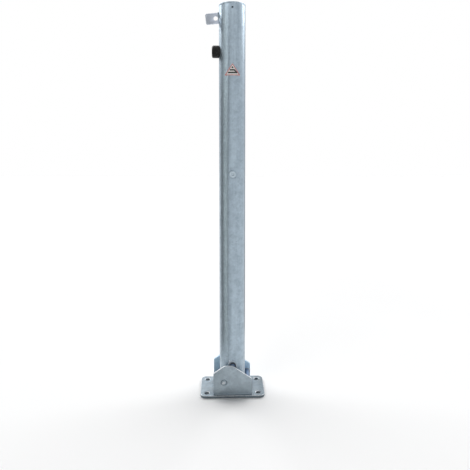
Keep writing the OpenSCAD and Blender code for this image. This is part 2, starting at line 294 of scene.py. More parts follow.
def arc(centre: Point, radius: float, start: float, end: float, steps: int = 6) -> list[Point]:
    """Walks along an arc of a profile.

    Args:
        centre: The arc's centre.
        radius: Its radius.
        start: First angle in degrees.
        end: Last angle in degrees.
        steps: How many pieces it is cut into.

    Returns:
        The points of the arc.
    """
    angles = [math.radians(start + (end - start) * i / steps) for i in range(steps + 1)]
    return [(centre[0] + radius * math.cos(a), centre[1] + radius * math.sin(a)) for a in angles]


def washer_profile(hole_r: float, r: float, thickness: float, soft: float) -> list[Point]:
    """Draws a washer's profile.

    Args:
        hole_r: Radius of its hole.
        r: Its radius.
        thickness: Its thickness.
        soft: Chamfer of its outer edges.

    Returns:
        The closed profile.
    """
    return [(hole_r, 0), (r - soft, 0), (r, soft), (r, thickness - soft), (r - soft, thickness),
            (hole_r, thickness)]


def round_stock(radius: float, sides: int) -> BMesh:
    """Returns the post's round over the lock's height, for trimming what ends at the tube."""
    return rod(Vector((0, 0, 0)), UP * STOCK_H, radius, sides=sides)


def loose(name: str, bm: BMesh) -> bpy.types.Object:
    """Turns a bmesh into an object in the scene.

    Args:
        name: The object's name.
        bm: Its mesh; it is used up.

    Returns:
        The object.
    """
    mesh = bpy.data.meshes.new(name)
    bm.to_mesh(mesh)
    bm.free()
    obj = bpy.data.objects.new(name, mesh)
    bpy.context.scene.collection.objects.link(obj)
    return obj


def cut(blank: BMesh, tools: Sequence[BMesh], how: Cut = Cut.AWAY) -> BMesh:
    """Cuts tools out of a blank, or keeps what they share with it.

    Args:
        blank: The piece to work on; it is used up.
        tools: The shapes that cut it; they are used up.
        how: Whether the tools take away or keep.

    Returns:
        The worked piece as a new bmesh.
    """
    work = loose("blank", blank)
    others = [loose(f"tool_{i}", tool) for i, tool in enumerate(tools)]
    for other in others:
        step = work.modifiers.new("cut", "BOOLEAN")
        step.operation, step.object, step.solver = how.value, other, "EXACT"
    bpy.context.view_layer.update()
    result = bmesh.new()
    result.from_object(work, bpy.context.evaluated_depsgraph_get())
    for obj in [work, *others]:
        mesh = obj.data
        bpy.data.objects.remove(obj)
        bpy.data.meshes.remove(mesh)
    bmesh.ops.remove_doubles(result, verts=result.verts, dist=1e-6)
    bmesh.ops.dissolve_degenerate(result, edges=result.edges, dist=1e-6)
    return result


def wear_and_highlight_mark(bm: BMesh) -> bmesh.types.BMLayerItem:
    """Returns the face layer that marks faces to be brightened, for rubbed wear and for painted highlights."""
    return bm.faces.layers.float.get("wear_and_highlight") or bm.faces.layers.float.new("wear_and_highlight")


def soften(bm: BMesh, width: float, segments: int = 3, sharper_than: float = 32.0) -> BMesh:
    """Rounds a piece's sharp edges and marks them to be brightened, partly as rubbed wear and partly as a painted
    highlight.

    Args:
        bm: The piece.
        width: Width of the rounding.
        segments: Faces across the rounding.
        sharper_than: Edges bent by more than this many degrees are rounded.

    Returns:
        The same bmesh.
    """
    wear_and_highlight = wear_and_highlight_mark(bm)
    limit = math.radians(sharper_than)
    sharp = [e for e in bm.edges if len(e.link_faces) == 2 and e.calc_face_angle(0.0) > limit]
    made = bmesh.ops.bevel(bm, geom=sharp, offset=width, offset_type="OFFSET", segments=segments,
                           profile=0.5, affect="EDGES", material=-1, clamp_overlap=True, loop_slide=True)
    for face in made["faces"]:
        face[wear_and_highlight] = 1.0
    return bm


def paint_highlight(bm: BMesh, wanted: Callable[[BMFace], bool]) -> BMesh:
    """Marks faces with a painted highlight, through the wear-and-highlight mark.

    Args:
        bm: The piece.
        wanted: Says of a face whether it gets the painted highlight.

    Returns:
        The same bmesh.
    """
    wear_and_highlight = wear_and_highlight_mark(bm)
    bm.normal_update()
    for face in bm.faces:
        if wanted(face):
            face[wear_and_highlight] = 1.0
    return bm


def finish_piece(name: str, bm: BMesh, body: Body, material: Material,
                 stands_for: Sequence[str] = (), crease: float = 40.0) -> bpy.types.Object:
    """Makes a finished piece of the bollard from a bmesh.

    Args:
        name: The piece's name.
        bm: Its mesh, in the frame; it is used up.
        body: The body it rides on.
        material: Its material.
        stands_for: The CAD nodes it replaces.
        crease: Edges bent by more than this many degrees stay crisp.

    Returns:
        The piece's object.
    """
    obj = loose(name, bm)
    mesh = obj.data
    for face in mesh.polygons:
        face.use_smooth = True
    mesh.set_sharp_from_angle(angle=math.radians(crease))
    mesh.materials.append(material)
    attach(obj, body.value)
    if stands_for:
        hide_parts(*stands_for)
    LOG.info("%s: %d faces on %s", name, len(mesh.polygons), body.value)
    return obj


def dress(node: str, material: Material) -> None:
    """Gives a CAD node that stays a better material.

    Args:
        node: The node's name.
        material: Its finish.
    """
    mesh = frame["nodes"][node].data
    mesh.materials.clear()
    mesh.materials.append(material)
    LOG.info("%s: kept, dressed in %s", node, material.name)


@dataclass
class WeldBead:
    """A run of weld: a rippled bead laid along a path."""

    radius: float = 1.8 * MM
    ripple: float = 0.12
    pitch: float = 2.4 * MM
    sides: int = 10
    step: float = 0.7 * MM
    unsteady: float = 0.06
    end_share: float = 0.45
    wander: float = 0.15 * MM

    def lay(self, path: Sequence[Vector], seed: int, closed: bool = False) -> BMesh:
        """Lays the bead along a path.

        Args:
            path: Points along the seam.
            seed: Chooses the bead's unevenness.
            closed: Whether the last point joins the first.

        Returns:
            The bead as a bmesh.
        """
        rng = random.Random(seed)
        bm = bmesh.new()
        rings: list[list[bmesh.types.BMEdge]] = []
        travelled, count = 0.0, len(path)
        for i, point in enumerate(path):
            ahead = path[(i + 1) % count] if closed else path[min(i + 1, count - 1)]
            behind = path[i - 1] if closed else path[max(i - 1, 0)]
            wave = self.ripple * math.sin(math.tau * travelled / self.pitch)
            swell = 1 + wave + rng.uniform(-self.unsteady, self.unsteady)
            share = self.end_share if not closed and i in (0, count - 1) else 1.0
            place = aim(point, ahead - behind)
            ring = bmesh.ops.create_circle(bm, cap_ends=False, segments=self.sides,
                                           radius=self.radius * swell * share, matrix=place)
            rings.append(list({e for v in ring["verts"] for e in v.link_edges}))
            travelled += (ahead - point).length
        for one, two in zip(rings, rings[1:] + (rings[:1] if closed else [])):
            bmesh.ops.bridge_loops(bm, edges=one + two)
        if not closed:
            for ring_edges in (rings[0], rings[-1]):
                bmesh.ops.edgeloop_fill(bm, edges=ring_edges)
        bmesh.ops.recalc_face_normals(bm, faces=bm.faces)
        return bm

    def line(self, start: Vector, end: Vector, seed: int) -> BMesh:
        """Lays a straight bead with a slightly unsteady hand.

        Args:
            start: Where it starts.
            end: Where it ends.
            seed: Chooses the unevenness.

        Returns:
            The bead as a bmesh.
        """
        rng = random.Random(seed * 13 + 1)
        steps = max(4, round((end - start).length / self.step))
        path = [start.lerp(end, i / steps) + Vector(rng.uniform(-self.wander, self.wander) for _ in range(3))
                for i in range(steps + 1)]
        return self.lay(path, seed)

    def ring(self, place: Matrix, radius: float, seed: int) -> BMesh:
        """Lays a bead round a circle in a place's own plane.

        Args:
            place: The circle's plane and centre.
            radius: The circle's radius.
            seed: Chooses the unevenness.

        Returns:
            The bead as a bmesh.
        """
        steps = max(24, round(math.tau * radius / self.step))
        turns = [math.tau * i / steps for i in range(steps)]
        path = [place @ Vector((radius * math.cos(a), radius * math.sin(a), 0)) for a in turns]
        return self.lay(path, seed, closed=True)


# ---- Materials ----


class Graph:
    """Places nodes in a shader tree with few words."""

    def __init__(self, tree: bpy.types.NodeTree) -> None:
        """Starts on a tree that is empty."""
        self.tree = tree

    def add(self, kind: str, inputs: dict[Any, Any] | None = None, **settings: Any) -> Node:
        """Adds one node.

        Args:
            kind: The node's type.
            inputs: A value or another node's output for each input, by its name or number.
            **settings: The node's own settings.

        Returns:
            The node.
        """
        node = self.tree.nodes.new(kind)
        for key, value in settings.items():
            setattr(node, key, value)
        for key, value in (inputs or {}).items():
            if isinstance(value, Socket):
                self.join(value, node.inputs[key])
            else:
                node.inputs[key].default_value = value
        return node

    def join(self, output: Socket, socket: Socket) -> None:
        """Joins a node's output to an input."""
        self.tree.links.new(output, socket)

    def math(self, operation: str, one: Any, two: Any = 0.0, clamp: bool = False) -> Socket:
        """Works out a sum of two values and returns its output."""
        return self.add("ShaderNodeMath", {0: one, 1: two}, operation=operation, use_clamp=clamp).outputs[0]

    def blend(self, share: Any, one: Any, two: Any) -> Socket:
        """Blends two colours and returns the output."""
        ends = [(*c, 1.0) if isinstance(c, tuple) else c for c in (one, two)]
        return self.add("ShaderNodeMix", {0: share, 6: ends[0], 7: ends[1]}, data_type="RGBA").outputs[2]

    def between(self, value: Any, low: float, high: float, to_low: float = 0.0,
                to_high: float = 1.0) -> Socket:
        """Maps a value from one range to another and returns the output."""
        return self.add("ShaderNodeMapRange", {0: value, 1: low, 2: high, 3: to_low, 4: to_high}).outputs[0]

    def bump(self, strength: float, distance: float, height: Socket) -> Socket:
        """Turns a height into relief and returns the normal."""
        return self.add("ShaderNodeBump", {"Strength": strength, "Distance": distance,
                                           "Height": height}).outputs[0]

    def stretched(self, vector: Any, scale: Sequence[float]) -> Socket:
        """Stretches a pattern's coordinates along each axis and returns them."""
        return self.add("ShaderNodeMapping", {"Vector": vector, "Scale": tuple(scale)}).outputs[0]

    def noise(self, vector: Any, scale: Any, detail: float, rough: float) -> Socket:
        """Adds a noise and returns its value."""
        return self.add("ShaderNodeTexNoise", {"Vector": vector, "Scale": scale, "Detail": detail,
                                               "Roughness": rough}).outputs[0]


class Effect:
    """A shared effect, built once as a node group and placed in each material that shows it."""

    name = "effect"
    takes: dict[str, tuple[str, float]] = {}
    gives: dict[str, str] = {}

    def tree(self) -> bpy.types.NodeTree:
        """Builds the effect's node group the first time it is asked for.

        Returns:
            The node group.
        """
        found = bpy.data.node_groups.get(self.name)
        if found:
            return found
        tree = bpy.data.node_groups.new(self.name, "ShaderNodeTree")
        for name, (kind, value) in self.takes.items():
            socket = tree.interface.new_socket(name, in_out="INPUT", socket_type=kind)
            if kind == "NodeSocketFloat":
                socket.default_value = value
        for name, kind in self.gives.items():
            tree.interface.new_socket(name, in_out="OUTPUT", socket_type=kind)
        graph = Graph(tree)
        start, end = graph.add("NodeGroupInput"), graph.add("NodeGroupOutput")
        self.wire(graph, start.outputs, end.inputs)
        return tree

    def wire(self, graph: Graph, given: Any, made: Any) -> None:
        """Joins the group's inputs to its outputs."""
        raise NotImplementedError

    def place(self, graph: Graph, inputs: dict[str, Any]) -> Node:
        """Places the effect in a material and returns its node."""
        return graph.add("ShaderNodeGroup", inputs, node_tree=self.tree())


class Spangle(Effect):
    """The crystals of a hot-dip zinc coat: a tone for each crystal and a fine mottle over them."""

    name = "zinc_spangle"
    takes = {"Vector": ("NodeSocketVector", 0.0), "Crystals": ("NodeSocketFloat", 160.0),
             "Mottle": ("NodeSocketFloat", 45.0)}
    gives = {"Tone": "NodeSocketFloat", "Cloud": "NodeSocketFloat"}

    def wire(self, graph: Graph, given: Any, made: Any) -> None:
        """Warps a cell pattern with noise and adds a broad mottle.

        Args:
            graph: The group's graph.
            given: The group's inputs.
            made: The group's outputs.
        """
        warp = graph.add("ShaderNodeTexNoise", {"Vector": given[0], "Scale": 60.0, "Detail": 2.0})
        shift = graph.add("ShaderNodeVectorMath", {0: warp.outputs["Color"], 1: (0.5, 0.5, 0.5)},
                          operation="SUBTRACT")
        small = graph.add("ShaderNodeVectorMath", {0: shift.outputs[0], "Scale": 0.006}, operation="SCALE")
        moved = graph.add("ShaderNodeVectorMath", {0: given[0], 1: small.outputs[0]}, operation="ADD")
        cells = graph.add("ShaderNodeTexVoronoi", {"Vector": moved.outputs[0], "Scale": given[1]})
        split = graph.add("ShaderNodeSeparateColor", {0: cells.outputs["Color"]})
        coarse = graph.math("MULTIPLY", given[1], 0.45)
        big = graph.add("ShaderNodeTexVoronoi", {"Vector": moved.outputs[0], "Scale": coarse})
        split_big = graph.add("ShaderNodeSeparateColor", {0: big.outputs["Color"]})
        tone = graph.math("ADD", graph.math("MULTIPLY", split.outputs[0], 0.6),
                          graph.math("MULTIPLY", split_big.outputs[1], 0.4))
        graph.join(tone, made[0])
        graph.join(graph.noise(given[0], given[2], 5.0, 0.6), made[1])


class ZincRuns(Effect):
    """Streaks where molten zinc ran down: a tone and a relief, strongest near a level."""

    name = "zinc_runs"
    takes = {"Vector": ("NodeSocketVector", 0.0), "Level": ("NodeSocketFloat", 0.85),
             "Fade": ("NodeSocketFloat", 0.12)}
    gives = {"Streak": "NodeSocketFloat", "Relief": "NodeSocketFloat"}

    def wire(self, graph: Graph, given: Any, made: Any) -> None:
        """Stretches noise down the post and fades it below the level.

        Args:
            graph: The group's graph.
            given: The group's inputs.
            made: The group's outputs.
        """
        apart = graph.add("ShaderNodeSeparateXYZ", {0: given[0]})
        streaks = graph.noise(graph.stretched(given[0], (1.0, 1.0, 0.07)), 330.0, 3.0, 0.62)
        broad = graph.noise(graph.stretched(given[0], (1.0, 1.0, 0.03)), 110.0, 2.0, 0.5)
        below = graph.math("SUBTRACT", given[1], apart.outputs[2])
        fade = graph.math("SUBTRACT", 1.0, graph.math("DIVIDE", below, given[2]), clamp=True)
        near = graph.math("ADD", graph.math("MULTIPLY", fade, 0.75), 0.25)
        both = graph.math("ADD", graph.math("MULTIPLY", streaks, 0.6), graph.math("MULTIPLY", broad, 0.4))
        centred = graph.math("SUBTRACT", both, 0.5)
        graph.join(graph.math("MULTIPLY", centred, near), made[0])
        graph.join(graph.math("MULTIPLY", streaks, near), made[1])


class EdgeWearAndHighlight(Effect):
    """Brighter, smoother metal on marked faces: rubbed wear where hands and boots rub a rounded edge, and painted
    highlights where light catches an edge or face.
    """

    name = "edge_wear_and_highlight"
    takes = {"Vector": ("NodeSocketVector", 0.0), "Breakup": ("NodeSocketFloat", 220.0)}
    gives = {"WearAndHighlight": "NodeSocketFloat"}

    def wire(self, graph: Graph, given: Any, made: Any) -> None:
        """Breaks the marked edges up with noise.

        Args:
            graph: The group's graph.
            given: The group's inputs.
            made: The group's outputs.
        """
        mark = graph.add("ShaderNodeAttribute", attribute_name="wear_and_highlight", attribute_type="GEOMETRY")
        rough = graph.between(graph.noise(given[0], given[1], 4.0, 0.6), 0.25, 0.5)
        graph.join(graph.math("MULTIPLY", mark.outputs["Fac"], rough, clamp=True), made[0])


class Grime(Effect):
    """Street dust that gathers near the ground and in a piece's pores."""

    name = "street_grime"
    takes = {"Vector": ("NodeSocketVector", 0.0), "Height": ("NodeSocketFloat", 0.05),
             "Patches": ("NodeSocketFloat", 70.0)}
    gives = {"Dust": "NodeSocketFloat"}

    def wire(self, graph: Graph, given: Any, made: Any) -> None:
        """Fades a patchy noise out with height.

        Args:
            graph: The group's graph.
            given: The group's inputs.
            made: The group's outputs.
        """
        apart = graph.add("ShaderNodeSeparateXYZ", {0: given[0]})
        low = graph.math("SUBTRACT", 1.0, graph.math("DIVIDE", apart.outputs[2], given[1]), clamp=True)
        patches = graph.between(graph.noise(given[0], given[2], 5.0, 0.65), 0.38, 0.72)
        graph.join(graph.math("MULTIPLY", low, patches, clamp=True), made[0])


class Grain(Effect):
    """A fine skin: the pores of a moulding, the peel of a coat or the lay of a machined face."""

    name = "fine_grain"
    takes = {"Vector": ("NodeSocketVector", 0.0), "Size": ("NodeSocketFloat", 900.0)}
    gives = {"Relief": "NodeSocketFloat", "Patch": "NodeSocketFloat"}

    def wire(self, graph: Graph, given: Any, made: Any) -> None:
        """Lays a fine noise over a broader one.

        Args:
            graph: The group's graph.
            given: The group's inputs.
            made: The group's outputs.
        """
        graph.join(graph.noise(given[0], given[1], 4.0, 0.6), made[0])
        broad = graph.math("MULTIPLY", given[1], 0.06)
        graph.join(graph.noise(given[0], broad, 4.0, 0.6), made[1])


def blank_material(name: str) -> tuple[Material, Graph, Node, Socket]:
    """Starts a material.

    Args:
        name: The material's name.

    Returns:
        The material, its graph, its shader and the object coordinates.
    """
    material = bpy.data.materials.new(name)
    material.use_nodes = True
    material.node_tree.nodes.clear()
    graph = Graph(material.node_tree)
    shader = graph.add("ShaderNodeBsdfPrincipled")
    graph.add("ShaderNodeOutputMaterial", {"Surface": shader.outputs[0]})
    place = graph.add("ShaderNodeTexCoord").outputs["Object"]
    return material, graph, shader, place


@dataclass(frozen=True)
class Galvanised:
    """Hot-dip zinc: crystals, runs, soft relief, bright edges for rubbed wear and painted highlights, and dust
    near the ground.
    """

    name: str
    light: Colour
    dark: Colour
    roughness: float = 0.42
    metallic: float = 0.85
    crystals: float = 150.0
    contrast: float = 0.55
    mottle: float = 0.9
    runs: float = 0.8
    run_level: float = 0.9
    run_fade: float = 0.16
    relief: float = 0.22
    dust: float = 0.35
    wear_and_highlight_strength: float = 0.5

    def make(self) -> Material:
        """Builds the material.

        Returns:
            The material.
        """
        material, graph, shader, place = blank_material(self.name)
        spangle = Spangle().place(graph, {"Vector": place, "Crystals": self.crystals, "Mottle": 55.0})
        runs = ZincRuns().place(graph, {"Vector": place, "Level": self.run_level, "Fade": self.run_fade})
        wear_and_highlight = EdgeWearAndHighlight().place(graph, {"Vector": place, "Breakup": 260.0}).outputs[0]
        dust = Grime().place(graph, {"Vector": place, "Height": 0.075, "Patches": 90.0}).outputs[0]
        grain = Grain().place(graph, {"Vector": place, "Size": 1400.0})
        tone = graph.math("MULTIPLY", graph.math("SUBTRACT", spangle.outputs[0], 0.5), self.contrast)
        cloud = graph.math("MULTIPLY", graph.math("SUBTRACT", spangle.outputs[1], 0.5), self.mottle)
        streak = graph.math("MULTIPLY", runs.outputs[0], self.runs * 1.6)
        share = graph.math("ADD", graph.math("ADD", tone, cloud), graph.math("ADD", streak, 0.5), clamp=True)
        coat = graph.blend(share, self.dark, self.light)
        # Marked faces blend towards pale zinc: rubbed wear on edges, and painted highlights on hole rims, cheek
        # tops, the pin's head and the lock's mouth weld.
        bright = graph.blend(graph.math("MULTIPLY", wear_and_highlight, self.wear_and_highlight_strength), coat, (0.82, 0.86, 0.90))
        dusty = graph.blend(graph.math("MULTIPLY", dust, self.dust), bright, (0.33, 0.31, 0.28))
        graph.join(dusty, shader.inputs["Base Color"])
        rough = graph.between(share, 0.0, 1.0, self.roughness + 0.09, self.roughness - 0.07)
        rough = graph.math("SUBTRACT", rough, graph.math("MULTIPLY", wear_and_highlight, 0.1))
        rough = graph.math("ADD", rough, graph.math("MULTIPLY", dust, 0.25 * self.dust), clamp=True)
        graph.join(rough, shader.inputs["Roughness"])
        dull = graph.math("ADD", graph.math("MULTIPLY", dust, 0.5 * self.dust),
                          graph.math("MULTIPLY", wear_and_highlight, 0.55 * self.wear_and_highlight_strength))
        graph.join(graph.math("SUBTRACT", self.metallic, dull), shader.inputs["Metallic"])
        height = graph.math("ADD", graph.math("MULTIPLY", runs.outputs[1], self.runs),
                            graph.math("MULTIPLY", spangle.outputs[1], 0.5))
        height = graph.math("ADD", height, graph.math("MULTIPLY", grain.outputs[0], 0.10))
        graph.join(graph.bump(self.relief, 0.6 * MM, height), shader.inputs["Normal"])
        return material


@dataclass(frozen=True)
class Turned:
    """Bare or plated metal from a lathe or press: even tone, fine tool marks, bright edges."""

    name: str
    light: Colour
    dark: Colour
    roughness: float = 0.32
    metallic: float = 0.95
    mark_size: float = 1800.0
    relief: float = 0.08

    def make(self) -> Material:
        """Builds the material.

        Returns:
            The material.
        """
        material, graph, shader, place = blank_material(self.name)
        grain = Grain().place(graph, {"Vector": place, "Size": self.mark_size})
        wear_and_highlight = EdgeWearAndHighlight().place(graph, {"Vector": place, "Breakup": 400.0}).outputs[0]
        share = graph.between(grain.outputs[1], 0.35, 0.65)
        tone = graph.blend(share, self.dark, self.light)
        graph.join(graph.blend(graph.math("MULTIPLY", wear_and_highlight, 0.4), tone, (0.82, 0.82, 0.80)),
                             shader.inputs["Base Color"])
        rough = graph.between(grain.outputs[0], 0.3, 0.7, self.roughness - 0.05, self.roughness + 0.08)
        graph.join(rough, shader.inputs["Roughness"])
        shader.inputs["Metallic"].default_value = self.metallic
        graph.join(graph.bump(self.relief, 0.2 * MM, grain.outputs[0]), shader.inputs["Normal"])
        return material


@dataclass(frozen=True)
class Moulded:
    """Moulded rubber, plastic or film: a fine skin, a slight bloom and scuffed edges."""

    name: str
    colour: Colour
    bloom: Colour
    roughness: float = 0.5
    gloss: float = 0.5
    coat: float = 0.0
    skin: float = 1500.0
    relief: float = 0.15

    def make(self) -> Material:
        """Builds the material.

        Returns:
            The material.
        """
        material, graph, shader, place = blank_material(self.name)
        grain = Grain().place(graph, {"Vector": place, "Size": self.skin})
        wear_and_highlight = EdgeWearAndHighlight().place(graph, {"Vector": place, "Breakup": 320.0}).outputs[0]
        haze = graph.between(grain.outputs[1], 0.42, 0.7)
        scuffs = graph.math("MULTIPLY", wear_and_highlight, 0.35)
        haze = graph.math("ADD", graph.math("MULTIPLY", haze, 0.45), scuffs, clamp=True)
        graph.join(graph.blend(haze, self.colour, self.bloom), shader.inputs["Base Color"])
        rough = graph.between(grain.outputs[0], 0.3, 0.7, self.roughness - 0.06, self.roughness + 0.08)
        graph.join(rough, shader.inputs["Roughness"])
        shader.inputs["Specular IOR Level"].default_value = self.gloss
        shader.inputs["Coat Weight"].default_value = self.coat
        graph.join(graph.bump(self.relief, 0.15 * MM, grain.outputs[0]), shader.inputs["Normal"])
        return material


class Finishes:
    """Every finish on the bollard, made once."""

    def __init__(self) -> None:
        """Builds the materials."""
        low_runs = {"runs": 0.25, "run_level": 0.08, "run_fade": 0.1}
        self.tube = Galvanised(
            "galvanised_tube", (0.448, 0.546, 0.623), (0.325, 0.400, 0.468), roughness=0.36,
            crystals=230.0, contrast=0.70, mottle=1.25, runs=3.2, wear_and_highlight_strength=0.25).make()
        self.plate = Galvanised(
            "galvanised_plate", (0.204, 0.251, 0.289), (0.143, 0.179, 0.208), roughness=0.48,
            crystals=200.0, contrast=0.62, mottle=1.2, dust=0.2, wear_and_highlight_strength=0.9, **low_runs).make()
        self.plug = Galvanised(
            "galvanised_plug", (0.57, 0.67, 0.74), (0.41, 0.49, 0.55), roughness=0.3,
            crystals=260.0, contrast=0.3, mottle=0.8, runs=0.0, wear_and_highlight_strength=0.9).make()
        self.cheek = Galvanised(
            "galvanised_cheek", (0.475, 0.562, 0.620), (0.345, 0.415, 0.470), roughness=0.46, metallic=0.62,
            crystals=200.0, contrast=0.62, mottle=1.1, dust=0.08, wear_and_highlight_strength=0.9, **low_runs).make()
        # Painted light: the tab's zinc is made paler and bluer than the tube's, so it stands in for the light the
        # tab catches.
        self.tab = Galvanised(
            "galvanised_tab_painted_light", (0.70, 0.76, 0.86), (0.58, 0.63, 0.73), roughness=0.4,
            crystals=260.0, contrast=0.24, mottle=0.6, runs=0.2, wear_and_highlight_strength=0.3).make()
        # Painted shade and a painted blue reflection: the stop bar's zinc is darker and bluer, for the shaded gap
        # between the cheeks.
        self.bar = Galvanised(
            "galvanised_bar_painted_shade", (0.26, 0.36, 0.52), (0.16, 0.23, 0.36), roughness=0.4,
            crystals=240.0, contrast=0.3, mottle=0.8, runs=0.0, wear_and_highlight_strength=0.3).make()
        # Painted light and a painted blue reflection: the rear cheek's zinc is pale blue and bright, to stand in
        # for the blue light on its shaded inner face.
        self.inner = Galvanised(
            "galvanised_rear_cheek_painted_blue_light", (0.64, 0.87, 1.0), (0.50, 0.70, 0.94), roughness=0.44, metallic=0.7,
            crystals=240.0, contrast=0.25, mottle=0.7, wear_and_highlight_strength=0.2, **{**low_runs, "runs": 0.2}).make()
        self.weld = Galvanised(
            "galvanised_weld", (0.42, 0.49, 0.55), (0.30, 0.36, 0.41), roughness=0.42,
            crystals=300.0, contrast=0.3, runs=0.0, relief=0.35, dust=0.1, wear_and_highlight_strength=0.9).make()
        self.zinc = Turned("zinc_plated", (0.62, 0.64, 0.66), (0.48, 0.50, 0.52)).make()
        self.spring = Turned("spring_steel", (0.16, 0.16, 0.17), (0.09, 0.09, 0.10), roughness=0.42).make()
        # Painted shade: the key spindle's steel is dark blue so that the lock's opening reads as a dark hollow.
        self.key = Turned("key_steel_painted_shade", (0.16, 0.24, 0.36), (0.06, 0.10, 0.17), roughness=0.34).make()
        self.brass = Turned("lock_brass", (0.66, 0.60, 0.44), (0.50, 0.44, 0.30), roughness=0.28).make()
        self.bush = Moulded("bush_plastic", (0.02, 0.02, 0.022), (0.06, 0.06, 0.06), roughness=0.45).make()
        self.rubber = Moulded("buffer_rubber", (0.006, 0.006, 0.006), (0.022, 0.022, 0.021), roughness=0.42,
                              gloss=0.32, skin=1300.0, relief=0.25).make()
        printed = {"roughness": 0.35, "coat": 0.3, "relief": 0.04}
        self.film = Moulded("label_film", (0.93, 0.91, 0.88), (0.80, 0.77, 0.73), **printed).make()
        self.red = Moulded("label_red", (0.62, 0.13, 0.13), (0.58, 0.28, 0.27), **printed).make()
        self.ink = Moulded("label_ink", (0.012, 0.014, 0.014), (0.05, 0.05, 0.05), **printed).make()


@dataclass
class Part:
    """A sub-assembly of the bollard, dressed from the finishes."""

    looks: Finishes

    def build(self) -> None:
        """Builds and dresses every piece of the sub-assembly."""
        raise NotImplementedError


# ---- The base ----


@dataclass
class Plinth(Part):
    """The bolted base: plate, two cheeks, stop bar, pivot pin and their welds."""

    corner_r: float = 12 * MM
    corner_steps: int = 14
    edge_r: float = 0.7 * MM
    cheek_edge_r: float = 0.7 * MM
    cheek_corner_r: float = 2.2 * MM
    fold_top: float = 55.5 * MM
    stop_top: float = 43.0 * MM
    hole_rim: float = 1.5 * MM
    sink_w: float = 1.7 * MM
    keeper_r: float = 6.6 * MM
    keeper_lead: float = 20 * MM
    keeper_l: float = 80 * MM
    pin_play: float = 0.30 * MM
    pin_groove: float = 1.0 * MM
    pin_chamfer: float = 0.6 * MM
    spot_r: float = 3.0 * MM
    bar_edge_r: float = 0.4 * MM
    washer_play: float = 0.1 * MM
    washer_soft: float = 0.25 * MM
    weld_short: float = 2.5 * MM
    weld_up: float = 0.4 * MM

    def build(self) -> None:
        """Builds and dresses every piece of the base."""
        self.base_plate()
        self.cheek("front_cheek", self.looks.cheek)
        # The rear cheek's pale blue finish is painted light and a painted blue reflection.
        self.cheek("rear_cheek", self.looks.inner)
        self.stop_bar()
        self.pivot_pin()
        self.pin_washer()
        dress("pin_ring", self.looks.spring)
        self.welds()

    def base_plate(self) -> None:
        """Makes the plate with its round corners and its anchor holes."""
        span = Span.of("base_plate")
        bm = block(span.lo, span.hi)
        upright = [e for e in bm.edges if abs(e.verts[0].co.z - e.verts[1].co.z) > OVER]
        bmesh.ops.bevel(bm, geom=upright, offset=self.corner_r, offset_type="OFFSET", profile=0.5,
                        segments=self.corner_steps, affect="EDGES", material=-1, clamp_overlap=False)
        holes = next(m for m in frame["record"]["mounts"] if m["name"] == "anchor_holes")["dims"]
        radius, top, rim = holes["hole_r_mm"] * MM, span.hi.z, self.hole_rim
        spots = [Vector((sx * holes["spacing_x_mm"] / 2 * MM, sy * holes["spacing_y_mm"] / 2 * MM, 0))
                 for sx in (-1, 1) for sy in (-1, 1)]
        drills = [rod(spot - UP * OVER, spot + UP * (top + OVER), radius, sides=64) for spot in spots]
        sinks = [rod(spot + UP * (top - rim), spot + UP * (top + rim), radius, radius + 2 * rim, sides=64)
                 for spot in spots]
        bm = soften(cut(bm, drills + sinks), self.edge_r, sharper_than=50)
        # Painted highlight: the sloping faces of the hole rims are painted bright, as if catching the light.
        paint_highlight(bm, lambda face: self.on_rim(face, span.hi.x - 2 * self.edge_r, span.hi.y - 2 * self.edge_r))
        finish_piece("base_plate_steel", bm, Body.BASE, self.looks.plate, ["base_plate"])

    @staticmethod
    def on_rim(face: BMFace, half_x: float, half_y: float) -> bool:
        """Says whether a face slopes like a hole's rim and lies inside the plate's own rounded edge.

        Args:
            face: The face.
            half_x: Half the length inside the rounded edge.
            half_y: Half the width inside the rounded edge.

        Returns:
            Whether it is part of a hole's rim.
        """
        mid = face.calc_center_median()
        return 0.3 < face.normal.z < 0.95 and abs(mid.x) < half_x and abs(mid.y) < half_y

    def cheek(self, node: str, material: bpy.types.Material) -> None:
        """Makes one cheek: a plate with slanting shoulders, the pivot's hole and the keeper holes.

        Args:
            node: The CAD node it stands for.
            material: Its finish.
        """
        span = Span.of(node)
        half, top, foot = span.hi.x, span.hi.z, span.lo.z
        outline = [(-half, foot), (-half, self.fold_top), (PIVOT.at.x, top), (0, top),
                   (half, self.stop_top), (half, foot)]
        flat = Matrix.Translation((0, span.hi.y, 0)) @ Matrix.Rotation(math.radians(90), 4, "X")
        bm = plate(outline, flat, span.size.y, self.cheek_corner_r, rounded=(1, 2, 3, 4))
        pin_r, mouth = self.pin_radius() + self.pin_play, span.lo.y
        tools = [rod(PIVOT.at_y(mouth - OVER), PIVOT.at_y(span.hi.y + OVER), pin_r)]
        if span.mid.y < 0:
            tools.append(rod(PIVOT.at_y(mouth - self.sink_w), PIVOT.at_y(mouth + self.sink_w),
                             pin_r + 2 * self.sink_w, pin_r))
        else:
            tools += self.keeper_tools()
        bm = soften(cut(bm, tools), self.cheek_edge_r)
        # Painted highlight: the upward faces along the cheek's top are painted bright, as if catching light from
        # above.
        lowest = self.stop_top - self.cheek_corner_r
        paint_highlight(bm, lambda face: abs(face.normal.y) < 0.2 and face.normal.z > 0.5
               and face.calc_center_median().z > lowest)
        finish_piece(node + "_steel", bm, Body.BASE, material, [node])

    def keeper_tools(self) -> list[BMesh]:
        """Makes the cutters of the two keeper holes.

        Returns:
            The cutter for the upright post and the one for the folded post.
        """
        start = KEY.down(Span.of("bolt_guide").size.y + self.keeper_lead)
        end = start + KEY.along * self.keeper_l
        upright, lain = (rod(start, end, self.keeper_r) for _ in range(2))
        bmesh.ops.transform(lain, matrix=PIVOT.turned(PIVOT.top), verts=lain.verts)
        return [upright, lain]

    def pin_radius(self) -> float:
        """Returns the pivot pin's radius."""
        return Span.of("pivot_pin").size.x / 2

